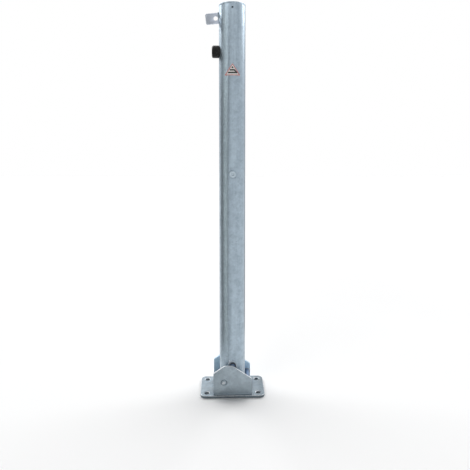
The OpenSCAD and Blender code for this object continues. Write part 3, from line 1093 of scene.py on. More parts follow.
    def stop_bar(self) -> None:
        """Makes the round bar that the upright post leans on."""
        span = Span.of("stop_bar")
        bm = soften(rod(span.mid_at_y(span.lo.y), span.mid_at_y(span.hi.y), span.size.x / 2), self.bar_edge_r)
        # The bar's dark blue finish is painted shade and a painted blue reflection.
        finish_piece("stop_bar_steel", bm, Body.BASE, self.looks.bar, ["stop_bar"])

    def pivot_pin(self) -> None:
        """Turns the pivot pin: a rounded head with a centre mark, a shank and a groove for its ring."""
        span, ring = Span.of("pivot_pin"), Span.of("pin_ring")
        r, length = self.pin_radius(), span.size.y
        waist = r - self.pin_groove
        near, far = ring.lo.y - span.lo.y, ring.hi.y - span.lo.y
        mark = [(0, 1.5 * MM), (1.2 * MM, 1.3 * MM), (2.4 * MM, 0.1 * MM), (3.0 * MM, 0)]
        rim = [(r - 1.2 * MM, 0.2 * MM), (r - 0.4 * MM, 0.6 * MM), (r, 1.3 * MM)]
        groove = [(r, near), (waist, near), (waist, far), (r, far)]
        tail = [(r, length - self.pin_chamfer), (r - self.pin_chamfer, length), (0, length)]
        head = PIVOT.at_y(span.lo.y)
        bm = turned(mark + rim + groove + tail, aim(head, Vector((0, 1, 0))), 72)
        # Painted highlight: a small patch low and to the left on the pin's head is painted bright.
        spot = head - Vector((1.0, 0, 0.5)) * MM
        paint_highlight(bm, lambda face: face.calc_center_median().y < span.lo.y + 2 * MM
               and (face.calc_center_median() - spot).xz.length < self.spot_r)
        finish_piece("pivot_pin_steel", bm, Body.BASE, self.looks.cheek, ["pivot_pin"], crease=50)

    def pin_washer(self) -> None:
        """Turns the washer behind the rear cheek."""
        span = Span.of("pin_washer")
        hole_r = self.pin_radius() + self.washer_play
        ring = washer_profile(hole_r, span.size.x / 2, span.size.y, self.washer_soft)
        bm = turned(ring, aim(PIVOT.at_y(span.lo.y), Vector((0, 1, 0))), 72, closed=True)
        finish_piece("pin_washer_steel", bm, Body.BASE, self.looks.zinc, ["pin_washer"])

    def welds(self) -> None:
        """Lays the beads along the cheeks' feet and round the stop bar's ends."""
        bead, small = WeldBead(1.15 * MM), WeldBead(1.2 * MM, pitch=2.0 * MM)
        for order, node in enumerate(("front_cheek", "rear_cheek")):
            span = Span.of(node)
            out, back = (span.lo.y, span.hi.y) if order == 0 else (span.hi.y, span.lo.y)
            for side, y in (("out", out), ("in", back)):
                end = Vector((span.hi.x - self.weld_short, y, span.lo.z + self.weld_up))
                run = bead.line(Vector((-end.x, y, end.z)), end, order * 7 + len(side))
                finish_piece(f"{node}_weld_{side}", run, Body.BASE, self.looks.weld, crease=180)
        bar = Span.of("stop_bar")
        for order, y in enumerate((bar.lo.y, bar.hi.y)):
            place = aim(bar.mid_at_y(y), Vector((0, 1, 0)))
            ring = small.ring(place, bar.size.x / 2 + 0.5 * MM, 20 + order)
            finish_piece(f"stop_bar_weld_{order}", ring, Body.BASE, self.looks.weld, crease=180)


# ---- The post ----


@dataclass
class Post(Part):
    """The tube with its openings, the cap, the pivot's bosses and bushes and the bolt's guide."""

    wall: float = 2.5 * MM
    sweep_room: float = 0.8 * MM
    opening_edge_r: float = 0.35 * MM
    cap_edge_t: float = 3.0 * MM
    cap_soft: float = 1.0 * MM
    seam_r: float = 0.8 * MM
    seam_in: float = 0.45 * MM
    vent_r: float = 2.25 * MM
    vent_drop: float = 15 * MM
    weld_gap: float = 0.1 * MM
    pin_room: float = 0.3 * MM
    boss_in: float = 14 * MM
    boss_soft: float = 0.4 * MM
    bush_wall: float = 1.5 * MM
    bush_play: float = 0.05 * MM
    bush_soft: float = 0.3 * MM
    barrel_r: float = 11 * MM
    barrel_reach: float = 22 * MM
    guide_r: float = 9.5 * MM
    guide_bore_r: float = 6.1 * MM
    guide_from: float = 60 * MM
    guide_to: float = 110 * MM
    guide_edge_r: float = 0.25 * MM
    plug_hole_r: float = 5.1 * MM
    plug_seat: float = 1.7 * MM
    plug_room: float = 1.6 * MM
    nut_hole_r: float = 4.6 * MM

    def build(self) -> None:
        """Builds and dresses every piece of the post."""
        self.tube()
        self.cap()
        self.bosses()
        self.guide()

    def quarter_outside(self, radius: float, side: int) -> BMesh:
        """Makes the cutter that rounds the foot about the pivot.

        Args:
            radius: What stays, measured from the pivot.
            side: 1 for the stop side, -1 for the folding side.

        Returns:
            The cutter.
        """
        reach = 4 * TUBE_R
        lo = Vector((PIVOT.at.x - (reach if side < 0 else 0), -reach / 2, PIVOT.at.z - reach))
        hi = Vector((PIVOT.at.x + (reach if side > 0 else 0), reach / 2, PIVOT.at.z))
        keep = rod(PIVOT.at_y(-reach), PIVOT.at_y(reach), radius, sides=256)
        return cut(block(lo, hi), [keep])

    def foot_tools(self) -> list[BMesh]:
        """Makes the cutters of the foot: its rounding, the pivot and the lock.

        Returns:
            The cutters.
        """
        span, bar = Span.of("post_tube"), Span.of("stop_bar")
        pin, boss = Span.of("pivot_pin"), Span.of("pivot_bosses")
        arm = Vector((bar.mid.x - PIVOT.at.x, 0, bar.mid.z - PIVOT.at.z)).length
        reach, boss_r = TUBE_R * 1.3, boss.size.x / 2 + self.weld_gap
        lead = self.guide_from - 2 * OVER
        return [
            self.quarter_outside(arm - bar.size.x / 2 - self.sweep_room, 1),
            self.quarter_outside(PIVOT.at.z - span.lo.z, -1),
            rod(PIVOT.at_y(-reach), PIVOT.at_y(reach), pin.size.x / 2 + self.pin_room),
            rod(PIVOT.at_y(-self.boss_in), PIVOT.at_y(-reach), boss_r),
            rod(PIVOT.at_y(self.boss_in), PIVOT.at_y(reach), boss_r),
            rod(KEY.down(-self.barrel_reach), KEY.down(self.barrel_reach), self.barrel_r + self.weld_gap),
            rod(KEY.down(lead), KEY.down(self.guide_to), self.guide_r + self.weld_gap),
        ]

    def side_tools(self) -> list[BMesh]:
        """Makes the cutters of the vent, the plug's hole and seat and the rivet nut's hole.

        Returns:
            The cutters.
        """
        plug, nut = Span.of("side_plug").mid.z, Span.of("rivet_nut").mid.z
        seat_r = Span.of("side_plug").size.z / 2 + self.plug_room
        vent, away = TOP_Z - self.vent_drop, -2 * TUBE_R
        return [
            rod(Vector((0, away, vent)), Vector((0, 0, vent)), self.vent_r, sides=40),
            rod(Vector((0, away, plug)), Vector((0, 0, plug)), self.plug_hole_r, sides=48),
            rod(Vector((0, away, plug)), Vector((0, self.plug_seat - TUBE_R, plug)), seat_r),
            rod(Vector((away, 0, nut)), Vector((0, 0, nut)), self.nut_hole_r, sides=48),
        ]

    def tube(self) -> None:
        """Makes the tube and cuts its openings and its rounded foot."""
        span, bore_r = Span.of("post_tube"), TUBE_R - self.wall
        profile = [(bore_r, span.lo.z), (TUBE_R, span.lo.z), (TUBE_R, span.hi.z), (bore_r, span.hi.z)]
        bm = turned(profile, Matrix.Identity(4), 160, closed=True)
        bm = soften(cut(bm, self.foot_tools() + self.side_tools()), self.opening_edge_r, 2)
        finish_piece("post_tube_steel", bm, Body.POST, self.looks.tube, ["post_tube"], crease=35)

    def cap(self) -> None:
        """Turns the domed cap and lays the dressed seam under it."""
        span, soft, fit = Span.of("top_cap"), self.cap_soft, TUBE_R - self.wall - self.weld_gap
        seat, top = Span.of("post_tube").hi.z, span.hi.z
        edge_top = seat + self.cap_edge_t
        crown = top - edge_top
        dome_r = ((TUBE_R - soft) ** 2 + crown ** 2) / (2 * crown)
        reach = math.degrees(math.asin((TUBE_R - soft) / dome_r))
        profile = [(0, span.lo.z), (fit, span.lo.z), (fit, seat), (TUBE_R, seat)]
        profile += arc((TUBE_R - soft, edge_top - soft), soft, 0, 78, 5)
        profile += arc((0, top - dome_r), dome_r, 90 - reach, 90, 12)[1:-1] + [(0, top)]
        finish_piece("top_cap_steel", turned(profile, Matrix.Identity(4), 160), Body.POST,
                     self.looks.tube, ["top_cap"], crease=35)
        seam = WeldBead(self.seam_r, ripple=0.07, pitch=2.6 * MM)
        bead = seam.ring(Matrix.Translation((0, 0, seat)), TUBE_R - self.seam_in, 31)
        finish_piece("cap_seam_weld", bead, Body.POST, self.looks.tube, crease=180)

    def bosses(self) -> None:
        """Turns the two bosses that carry the pivot, and their flanged bushes."""
        boss, bush, pin = Span.of("pivot_bosses"), Span.of("pivot_bushes"), Span.of("pivot_pin")
        inner, outer, flange = self.boss_in, boss.hi.y, bush.hi.y
        r, soft, play, lip = boss.size.x / 2, self.boss_soft, self.bush_play, self.bush_soft
        hole = pin.size.x / 2 + play
        sleeve = hole + self.bush_wall
        ring = [(sleeve, inner), (r - soft, inner), (r, inner + soft), (r, outer - soft),
                (r - soft, outer), (sleeve, outer)]
        lining = [(hole, inner), (sleeve - play, inner), (sleeve - play, outer + play),
                  (r - lip, outer + play), (r, outer + play + lip), (r, flange - lip),
                  (r - lip, flange), (hole + lip, flange), (hole, flange - lip)]
        for side, name in ((-1, "front"), (1, "rear")):
            place = aim(PIVOT.at_y(0), Vector((0, side, 0)))
            first = side < 0
            finish_piece(f"pivot_boss_{name}", turned(ring, place, 72, closed=True), Body.POST,
                         self.looks.weld, ["pivot_bosses"] if first else [])
            finish_piece(f"pivot_bush_{name}", turned(lining, place, 72, closed=True), Body.POST,
                         self.looks.bush, ["pivot_bushes"] if first else [])

    def guide(self) -> None:
        """Makes the sleeve that leads the bolt out of the tube's rear, trimmed to the tube's round."""
        bm = rod(KEY.down(self.guide_from), KEY.down(self.guide_to), self.guide_r)
        bm = cut(bm, [rod(KEY.at, KEY.down(self.guide_to + 40 * MM), self.guide_bore_r)])
        bm = cut(bm, [round_stock(TUBE_R, 192)], Cut.COMMON)
        reach = 50 * MM
        near = block(Vector((-reach, -reach, 0)), Vector((reach, Span.of("bolt_guide").lo.y, STOCK_H)))
        bm = soften(cut(bm, [near]), self.guide_edge_r, 2)
        finish_piece("bolt_guide_steel", bm, Body.POST, self.looks.zinc, ["bolt_guide"])


@dataclass
class EyeTab(Part):
    """The flat tab with an eye near the top, welded on edge to the tube."""

    droop: float = math.radians(6)
    height: float = 24 * MM
    length: float = 30 * MM
    corner_r: float = 4 * MM
    edge_r: float = 0.6 * MM
    eye_r: float = 5 * MM
    eye_in: float = 7.2 * MM
    root: float = 1.6 * MM
    middle_drop: float = 31 * MM
    weld_out: float = 0.2 * MM
    weld_steps: tuple[int, int] = (34, 6)

    def build(self) -> None:
        """Builds the tab and its weld."""
        span = Span.of("eye_tab")
        foot = Vector((-TUBE_R, 0, TOP_Z - self.middle_drop))
        out = Vector((-math.cos(self.droop), 0, -math.sin(self.droop)))
        up = Vector((-math.sin(self.droop), 0, math.cos(self.droop)))
        place = Matrix((out, up, out.cross(up))).transposed().to_4x4()
        place.translation = foot - out.cross(up) * span.size.y / 2
        half = self.height / 2
        outline = [(-self.root, -half), (self.length, -half), (self.length, half), (-self.root, half)]
        bm = plate(outline, place, span.size.y, self.corner_r, rounded=(1, 2))
        eye, across = foot + out * self.eye_in, Vector((0, 10 * OVER, 0))
        bm = soften(cut(bm, [rod(eye - across, eye + across, self.eye_r, sides=64)]), self.edge_r)
        # The tab's pale finish is painted light.
        finish_piece("eye_tab_steel", bm, Body.POST, self.looks.tab, ["eye_tab"])
        side = span.size.y / 2 + self.weld_out
        corners = [foot + up * half * v + Vector((0, side * s, 0))
                   for s, v in ((-1, -1), (-1, 1), (1, 1), (1, -1))]
        path = [a.lerp(b, i / n) for a, b, n in zip(corners, corners[1:] + corners[:1], self.weld_steps * 2)
                for i in range(n)]
        bead = WeldBead(1.3 * MM, pitch=2.1 * MM).lay(path, 41, closed=True)
        finish_piece("eye_tab_weld", bead, Body.POST, self.looks.weld, crease=180)


@dataclass
class Buffer(Part):
    """The rubber buffer with its screw, washer and rivet nut."""

    edge_r: float = 4 * MM
    recess_r: float = 7.5 * MM
    recess_h: float = 6.5 * MM
    lip_r: float = 0.9 * MM
    inner_end: float = 18 * MM
    saddle_play: float = 0.1 * MM
    saddle_over: float = 5 * MM
    saddle_edge_r: float = 0.7 * MM
    flash_out: float = 9 * MM
    flash_h: float = 0.3 * MM
    flash_w: float = 0.12 * MM
    screw_r: float = 3 * MM
    screw_play: float = 0.1 * MM
    socket_r: float = 2.31 * MM
    socket_h: float = 2.2 * MM
    washer_soft: float = 0.2 * MM

    def build(self) -> None:
        """Builds the buffer and dresses its fastening."""
        span = Span.of("rubber_buffer")
        place = aim(Vector((0, 0, span.mid.z)), Vector((-1, 0, 0)))
        self.body(span, place)
        self.parting_line(place, span.size.z / 2)
        self.screw(place)
        self.washer()
        dress("rivet_nut", self.looks.zinc)

    def body(self, span: Span, place: Matrix) -> None:
        """Turns the rubber body with its recess and saddles it to the tube.

        Args:
            span: The CAD buffer's box.
            place: The buffer's axis.
        """
        r, tip, lip = span.size.z / 2, -span.lo.x, self.lip_r
        seat, hole = tip - self.recess_h, self.screw_r + self.screw_play
        profile = [(hole, self.inner_end), (r - 0.2 * MM, self.inner_end),
                   (r - 0.05 * MM, TUBE_R - 1.5 * MM), (r, TUBE_R + 5 * MM)]
        profile += arc((r - self.edge_r, tip - self.edge_r), self.edge_r, 0, 90, 8)
        profile += arc((self.recess_r + lip, tip - lip), lip, 90, 180, 5)
        profile += [(self.recess_r - 0.15 * MM, seat + 0.8 * MM), (self.recess_r - 0.8 * MM, seat),
                    (hole, seat)]
        bm = turned(profile, place, 128, closed=True)
        low, high = Vector((0, 0, span.lo.z - self.saddle_over)), Vector((0, 0, span.hi.z + self.saddle_over))
        saddle = rod(low, high, TUBE_R + self.saddle_play, sides=256)
        bm = soften(cut(bm, [saddle]), self.saddle_edge_r, 3, 50)
        finish_piece("rubber_buffer_body", bm, Body.POST, self.looks.rubber, ["rubber_buffer"],
                     crease=60)

    def parting_line(self, place: Matrix, r: float) -> None:
        """Adds the thin flash line that the mould leaves round the buffer.

        Args:
            place: The buffer's axis.
            r: The buffer's radius.
        """
        at, h = TUBE_R + self.flash_out, self.flash_h
        line = turned([(r - h, at - h), (r + self.flash_w, at), (r - h, at + h)], place, 96, closed=True)
        finish_piece("buffer_flash_line", line, Body.POST, self.looks.rubber)

    def screw(self, place: Matrix) -> None:
        """Turns the button-head screw and sinks its socket.

        Args:
            place: The buffer's axis.
        """
        span, thread_r = Span.of("buffer_screw"), self.screw_r
        r, seat, tip, start = span.size.z / 2, -Span.of("buffer_washer").lo.x, -span.lo.x, -span.hi.x
        profile = [(0, start), (thread_r - 0.5 * MM, start), (thread_r, start + 0.6 * MM), (thread_r, seat),
                   (r, seat), (r, seat + 0.9 * MM), (r * 0.92, tip - 1.0 * MM), (r * 0.76, tip - 0.3 * MM),
                   (r * 0.6, tip), (0, tip)]
        socket = rod(Vector((-tip - OVER, 0, span.mid.z)), Vector((-tip + self.socket_h, 0, span.mid.z)),
                     self.socket_r, sides=6)
        bm = cut(turned(profile, place, 72), [socket])
        finish_piece("buffer_screw_steel", bm, Body.POST, self.looks.zinc, ["buffer_screw"])

    def washer(self) -> None:
        """Turns the washer under the screw head."""
        span = Span.of("buffer_washer")
        place = aim(Vector((span.hi.x, 0, span.mid.z)), Vector((-1, 0, 0)))
        ring = washer_profile(self.screw_r + self.screw_play, span.size.z / 2, span.size.x, self.washer_soft)
        bm = turned(ring, place, 72, closed=True)
        finish_piece("buffer_washer_steel", bm, Body.POST, self.looks.zinc, ["buffer_washer"])


@dataclass
class SidePlug(Part):
    """The pressed plug that closes the tube's side hole."""

    stem_r: float = 5 * MM
    rim_r: float = 1.1 * MM
    dimple_r: float = 2.5 * MM
    dimple_h: float = 1.5 * MM
    dimple_soft: float = 0.5 * MM

    def build(self) -> None:
        """Turns the plug's head and stem."""
        span = Span.of("side_plug")
        r, start, tip, rim = span.size.z / 2, -span.hi.y, -span.lo.y, self.rim_r
        dimple, soft = self.dimple_r, self.dimple_soft
        profile = [(0, start), (self.stem_r, start), (self.stem_r, TUBE_R - 2 * MM),
                   (r, TUBE_R - 1.6 * MM), (r, TUBE_R + 0.5 * MM)]
        profile += arc((r - rim, tip - rim), rim, 10, 90, 5)
        profile += [(dimple + soft, tip), (dimple, tip - 0.2 * MM), (dimple - soft, tip - self.dimple_h),
                    (0, tip - self.dimple_h)]
        bm = turned(profile, aim(Vector((0, 0, span.mid.z)), Vector((0, -1, 0))), 72)
        finish_piece("side_plug_cap", bm, Body.POST, self.looks.plug, ["side_plug"], crease=50)


@dataclass
class HazardLabel(Part):
    """A triangular film label with a red edge and a plain sign of a tipping post."""

    corner_r: float = 1.5 * MM
    margin: float = 0.3 * MM
    edge_w: float = 1.7 * MM
    film_t: float = 0.3 * MM
    lift: float = 0.12 * MM
    sign_t: float = 0.25 * MM
    sign_r: float = 0.3 * MM
    strips: int = 24

    def build(self) -> None:
        """Builds the film, its edge and its sign, wrapped round the tube."""
        span = Span.of("hazard_label")
        low, surface, wide, tall = span.lo.z, -span.lo.y, span.size.x, span.size.z
        corners = [(-wide / 2, low), (wide / 2, low), (0, span.hi.z)]
        film = self.film(corners, surface - self.lift, self.film_t)
        finish_piece("hazard_label_film", film, Body.POST, self.looks.film, ["hazard_label"])
        edge = cut(self.film(self.inset(corners, self.margin), surface, self.film_t),
                   [self.film(self.inset(corners, self.edge_w), surface + OVER, 3 * OVER)])
        finish_piece("hazard_label_edge", edge, Body.POST, self.looks.red)
        signs = {
            "ground": [(-0.30, 0.17), (0.30, 0.17), (0.30, 0.29), (-0.26, 0.29)],
            "post": [(-0.17, 0.38), (0.10, 0.38), (0.22, 0.25), (0.27, 0.32), (0.12, 0.50), (-0.17, 0.50)],
            "arrow": [(-0.07, 0.59), (0.07, 0.59), (0.0, 0.76)],
        }
        for name, shape in signs.items():
            points = [(x * wide, low + z * tall) for x, z in shape]
            sign = self.film(points, surface - self.lift * 0.4, self.sign_t, self.sign_r)
            finish_piece(f"hazard_label_{name}", sign, Body.POST, self.looks.ink)

    @staticmethod
    def inset(corners: Sequence[Point], by: float) -> list[Point]:
        """Moves a triangle's edges inwards.

        Args:
            corners: The triangle.
            by: How far each edge moves.

        Returns:
            The smaller triangle's corners.
        """
        a, b, c = (Vector(p) for p in corners)
        sides = ((b - c).length, (c - a).length, (a - b).length)
        heart = (a * sides[0] + b * sides[1] + c * sides[2]) / sum(sides)
        inner_r = abs((b - a).cross(c - a)) / sum(sides)
        return [tuple(heart + (p - heart) * (inner_r - by) / inner_r) for p in (a, b, c)]

    def film(self, corners: Sequence[Point], radius: float, thickness: float,
             corner_r: float | None = None) -> BMesh:
        """Cuts a film to a shape and wraps it round the tube's front.

        Args:
            corners: The shape, across and up.
            radius: Radius of its outer side.
            thickness: The film's thickness.
            corner_r: Radius of its corners; the label's own if left out.

        Returns:
            The wrapped film.
        """
        flat = Matrix.Translation((0, -radius + thickness, 0)) @ Matrix.Rotation(math.radians(90), 4, "X")
        bm = plate(corners, flat, thickness, self.corner_r if corner_r is None else corner_r)
        reach = max(abs(x) for x, _ in corners)
        for i in range(1, self.strips):
            x = -reach + 2 * reach * i / self.strips
            everything = bm.verts[:] + bm.edges[:] + bm.faces[:]
            bmesh.ops.bisect_plane(bm, geom=everything, plane_co=(x, 0, 0), plane_no=(1, 0, 0), dist=1e-7)
        for vert in bm.verts:
            away = -vert.co.y
            turn = math.asin(max(-0.99, min(0.99, vert.co.x / radius)))
            vert.co.x, vert.co.y = away * math.sin(turn), -away * math.cos(turn)
        return bm


# ---- The lock ----


@dataclass
class KeyLock(Part):
    """The inclined lock: barrel with its mouth in the tube's front, key spindle, ring and bolt."""

    barrel_r: float = 11 * MM
    barrel_reach: float = 22 * MM
    barrel_l: float = 46 * MM
    barrel_edge_r: float = 0.35 * MM
    key_bore_r: float = 8.5 * MM
    bolt_bore_r: float = 7.3 * MM
    bolt_bore_l: float = 60 * MM
    slot_r: float = 2.4 * MM
    slot_l: float = 12 * MM
    slot_steps: int = 12
    slot_reach: float = 30 * MM
    mouth_steps: int = 96
    spindle_depth: float = 9 * MM
    spindle_t: float = 7 * MM
    spindle_play: float = 0.1 * MM
    spindle_soft: float = 0.4 * MM
    stud_r: float = 6 * MM
    stud_h: float = 6 * MM
    stud_corner_r: float = 1.2 * MM
    root: float = 0.2 * MM
    shank_w: float = 7 * MM
    shank_l: float = 20 * MM
    shank_corner_r: float = 0.4 * MM
    shank_soft: float = 0.3 * MM
    bolt_from: float = 20 * MM
    bolt_r: float = 6 * MM
    bolt_socket_r: float = 5.2 * MM
    bolt_socket_l: float = 17 * MM
    nose_r: float = 1.0 * MM
    head_r: float = 7.2 * MM
    head_l: float = 20 * MM

    def build(self) -> None:
        """Builds and dresses the lock."""
        self.barrel()
        self.mouth_weld()
        self.spindle()
        self.bolt()
        dress("spindle_ring", self.looks.spring)
        dress("cam_pin", self.looks.spring)

    def barrel(self) -> None:
        """Bores the barrel, cuts the slot for the cam pin and trims the mouth to the tube's round."""
        back = self.spindle_depth + self.spindle_t
        bm = rod(KEY.down(-self.barrel_reach), KEY.down(self.barrel_l), self.barrel_r)
        bm = cut(bm, [rod(KEY.down(-2 * self.barrel_reach), KEY.down(back), self.key_bore_r),
                      rod(KEY.at, KEY.down(self.bolt_bore_l), self.bolt_bore_r)])
        cam = Span.of("cam_pin").mid - KEY.at
        depth = cam.dot(KEY.along)
        side = (cam - KEY.along * depth).normalized()
        for i in range(self.slot_steps + 1):
            out = Matrix.Rotation(KEY.top * i / self.slot_steps, 3, KEY.along) @ side
            start = KEY.down(depth + self.slot_l * i / self.slot_steps)
            bm = cut(bm, [rod(start, start + out * self.slot_reach, self.slot_r, sides=32)])
        bm = cut(bm, [round_stock(-Span.of("lock_barrel").lo.y, 256)], Cut.COMMON)
        finish_piece("lock_barrel_steel", soften(bm, self.barrel_edge_r, 2, 50), Body.POST,
                     self.looks.weld, ["lock_barrel"])

    def mouth_weld(self) -> None:
        """Lays the bead where the barrel's mouth meets the tube."""
        across = Vector((1, 0, 0))
        up = KEY.along.cross(across).normalized()
        path = []
        for i in range(self.mouth_steps):
            turn = math.tau * i / self.mouth_steps
            rim = across * self.barrel_r * math.cos(turn) + up * self.barrel_r * math.sin(turn)
            path.append(KEY.down(self.depth_on_tube(rim)) + rim)
        bead = WeldBead(1.0 * MM, ripple=0.1, pitch=2.0 * MM).lay(path, 51, closed=True)
        # Painted highlight: the upper faces of the bead left of the mouth are painted bright.
        paint_highlight(bead, lambda face: face.calc_center_median().x < -2 * MM
               and face.calc_center_median().z > KEY.at.z and face.normal.z > 0)
        finish_piece("lock_mouth_weld", bead, Body.POST, self.looks.weld, crease=180)

    @staticmethod
    def depth_on_tube(rim: Vector) -> float:
        """Finds how deep a line beside the lock's axis meets the tube.

        Args:
            rim: The line's offset from the axis.

        Returns:
            The depth along the axis.
        """
        start = KEY.at + rim
        a = KEY.along.x ** 2 + KEY.along.y ** 2
        b = 2 * (start.x * KEY.along.x + start.y * KEY.along.y)
        c = start.x ** 2 + start.y ** 2 - TUBE_R ** 2
        return (-b - math.sqrt(b * b - 4 * a * c)) / (2 * a)

    def spindle(self) -> None:
        """Turns the key spindle and adds its three-sided stud and its square shank."""
        play, soft = self.spindle_play, self.spindle_soft
        face, back = self.spindle_depth + play, self.spindle_depth + self.spindle_t - play
        r, half = self.key_bore_r - play, self.shank_w / 2
        flange = turned([(0, face), (r - soft, face), (r, face + soft), (r, back - soft), (r - soft, back),
                         (0, back)], aim(KEY.at, KEY.along), 72)
        # The spindle's dark blue finish is painted shade in the lock's opening.
        finish_piece("key_spindle_flange", flange, Body.SPINDLE, self.looks.key, ["key_spindle"])
        corners = [(self.stud_r * math.cos(math.radians(a)), self.stud_r * math.sin(math.radians(a)))
                   for a in (90, 210, 330)]
        stud = plate(corners, aim(KEY.down(self.spindle_depth - self.stud_h), KEY.along),
                     self.stud_h + self.root, self.stud_corner_r)
        finish_piece("key_spindle_stud", soften(stud, soft), Body.SPINDLE, self.looks.key)
        square = [(-half, -half), (half, -half), (half, half), (-half, half)]
        shank = plate(square, aim(KEY.down(back - self.root), KEY.along), self.shank_l, self.shank_corner_r)
        shank = soften(shank, self.shank_soft)
        finish_piece("key_spindle_shank", shank, Body.SPINDLE, self.looks.brass)

    def bolt(self) -> None:
        """Turns the lock bolt: a bored head, a shank and a rounded nose."""
        tip = max((v.co - KEY.at).dot(KEY.along) for v in frame["nodes"]["lock_bolt"].data.vertices)
        start, r, head, soft = self.bolt_from, self.bolt_r, self.head_r, self.nose_r
        end, floor, bore = start + self.head_l, start + self.bolt_socket_l, self.bolt_socket_r
        profile = [(0, floor), (bore, floor), (bore, start), (head - soft / 2, start),
                   (head, start + soft / 2), (head, end - soft / 2), (head - soft / 2, end),
                   (r, end), (r, tip - soft)]
        profile += arc((r - soft, tip - soft), soft, 0, 90, 5) + [(0, tip)]
        bm = turned(profile, aim(KEY.at, KEY.along), 72)
        finish_piece("lock_bolt_steel", bm, Body.BOLT, self.looks.zinc, ["lock_bolt"])


# ---- Small marks of the zinc bath ----


@dataclass
class ZincDrips(Part):
    """Frozen zinc: drops at edges and openings, a drop at the lock's mouth in the bright tab finish as a painted
    highlight, and two thin sags on the tube.
    """

    radius: float = 1.0 * MM
    sag_r: float = 0.42 * MM
    sag_steps: int = 24

    def drop(self, at: Vector, size: float, stretch: float) -> BMesh:
        """Makes one drop.

        Args:
            at: Its middle.
            size: Its radius.
            stretch: Its height over its width.

        Returns:
            The drop as a bmesh.
        """
        bm = bmesh.new()
        place = Matrix.Translation(at) @ Matrix.Diagonal((1, 1, stretch, 1))
        bmesh.ops.create_uvsphere(bm, u_segments=16, v_segments=10, radius=size, matrix=place)
        return bm

    def sag(self, low: float, high: float, left: float, right: float) -> BMesh:
        """Makes one sag: a thin ridge that climbs round the tube's front.

        Args:
            low: Height of its left end.
            high: Height of its right end.
            left: How far to the right its left end is.
            right: How far to the right its right end is.

        Returns:
            The sag as a bmesh.
        """
        path = []
        for i in range(self.sag_steps + 1):
            share = i / self.sag_steps
            turn = math.asin((left + (right - left) * share) / TUBE_R)
            level = low + (high - low) * share
            path.append(Vector((TUBE_R * math.sin(turn), -TUBE_R * math.cos(turn), level)))
        return WeldBead(self.sag_r, ripple=0.1, pitch=4 * MM).lay(path, 61)

    def build(self) -> None:
        """Hangs the drops and lays the sags."""
        tab, front, highlight_finish = Span.of("eye_tab").lo, -TUBE_R, self.looks.tab
        spots = {
            "tab_drip_1": (Vector((tab.x + 9 * MM, 0.3 * MM, tab.z + 2.4 * MM)), 1.1, 1.5, self.looks.tube),
            "tab_drip_2": (Vector((tab.x + 17 * MM, -0.4 * MM, tab.z + 1.6 * MM)), 0.8, 1.3, self.looks.tube),
            "vent_drip": (Vector((0.2 * MM, front + 1.3 * MM, TOP_Z - 16.6 * MM)), 1.9, 0.8, self.looks.tube),
            # Painted highlight: the mouth drop wears the bright tab finish, so it reads as a glint at the
            # opening's upper left.
            "mouth_drip_highlight": (Vector((-6.4 * MM, front + 2.0 * MM, KEY.at.z + 12.2 * MM)), 2.5, 1.0, highlight_finish),
        }
        for name, (at, size, stretch, look) in spots.items():
            drop = self.drop(at, size * self.radius, stretch)
            finish_piece(name, drop, Body.POST, look, crease=180)
        sags = {"zinc_sag_1": (360.0, 363.0, -3.0, 14.0), "zinc_sag_2": (363.5, 367.0, 2.0, 10.0)}
        for name, ends in sags.items():
            sag = self.sag(*(end * MM for end in ends))
            finish_piece(name, sag, Body.POST, self.looks.plug, crease=180)


# ---- Studio ----


@dataclass(frozen=True)
class Panel:
    """A soft light far from the post, so that the floor is lit evenly."""

    name: str
    azimuth: float
    height: float
    spread: float
    power: float
    away: float = 3.0

    def hang(self) -> None:
        """Hangs the light at its azimuth from the front and its height above the floor, both in degrees."""
        data = bpy.data.lights.new(self.name, "SUN")
        data.angle, data.energy = math.radians(self.spread), self.power
        turn, rise = math.radians(self.azimuth), math.radians(self.height)
        out = Vector((math.sin(turn) * math.cos(rise), -math.cos(turn) * math.cos(rise), math.sin(rise)))
        obj = bpy.data.objects.new(self.name, data)
        obj.location = out * self.away
        obj.rotation_euler = out.to_track_quat("Z", "Y").to_euler()
        bpy.context.scene.collection.objects.link(obj)


@dataclass(frozen=True)
class Flag:
    """A plain card that only shows as a reflection in the metal, and goes with the post when it folds."""

    name: str
    azimuth: float
    distance: float
    wide: float
    tall: float = 1.0
    grey: float = 0.02

    def stand(self) -> None:
        """Stands the card on the floor, facing the post."""
        turn = math.radians(self.azimuth)
        away = Vector((math.sin(turn), -math.cos(turn), 0)) * self.distance
        bm = bmesh.new()
        place = aim(away + UP * (self.tall / 2), -away) @ Matrix.Diagonal((self.wide, self.tall, 1, 1))
        bmesh.ops.create_grid(bm, x_segments=1, y_segments=1, size=0.5, matrix=place)
        obj = loose(self.name, bm)
        material, _, shader, _ = blank_material(self.name + "_card")
        shader.inputs["Base Color"].default_value = (self.grey, self.grey, self.grey * 0.93, 1)
        shader.inputs["Roughness"].default_value = 0.9
        obj.data.materials.append(material)
        obj.visible_camera = obj.visible_shadow = obj.visible_diffuse = False
        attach(obj, Body.POST.value)


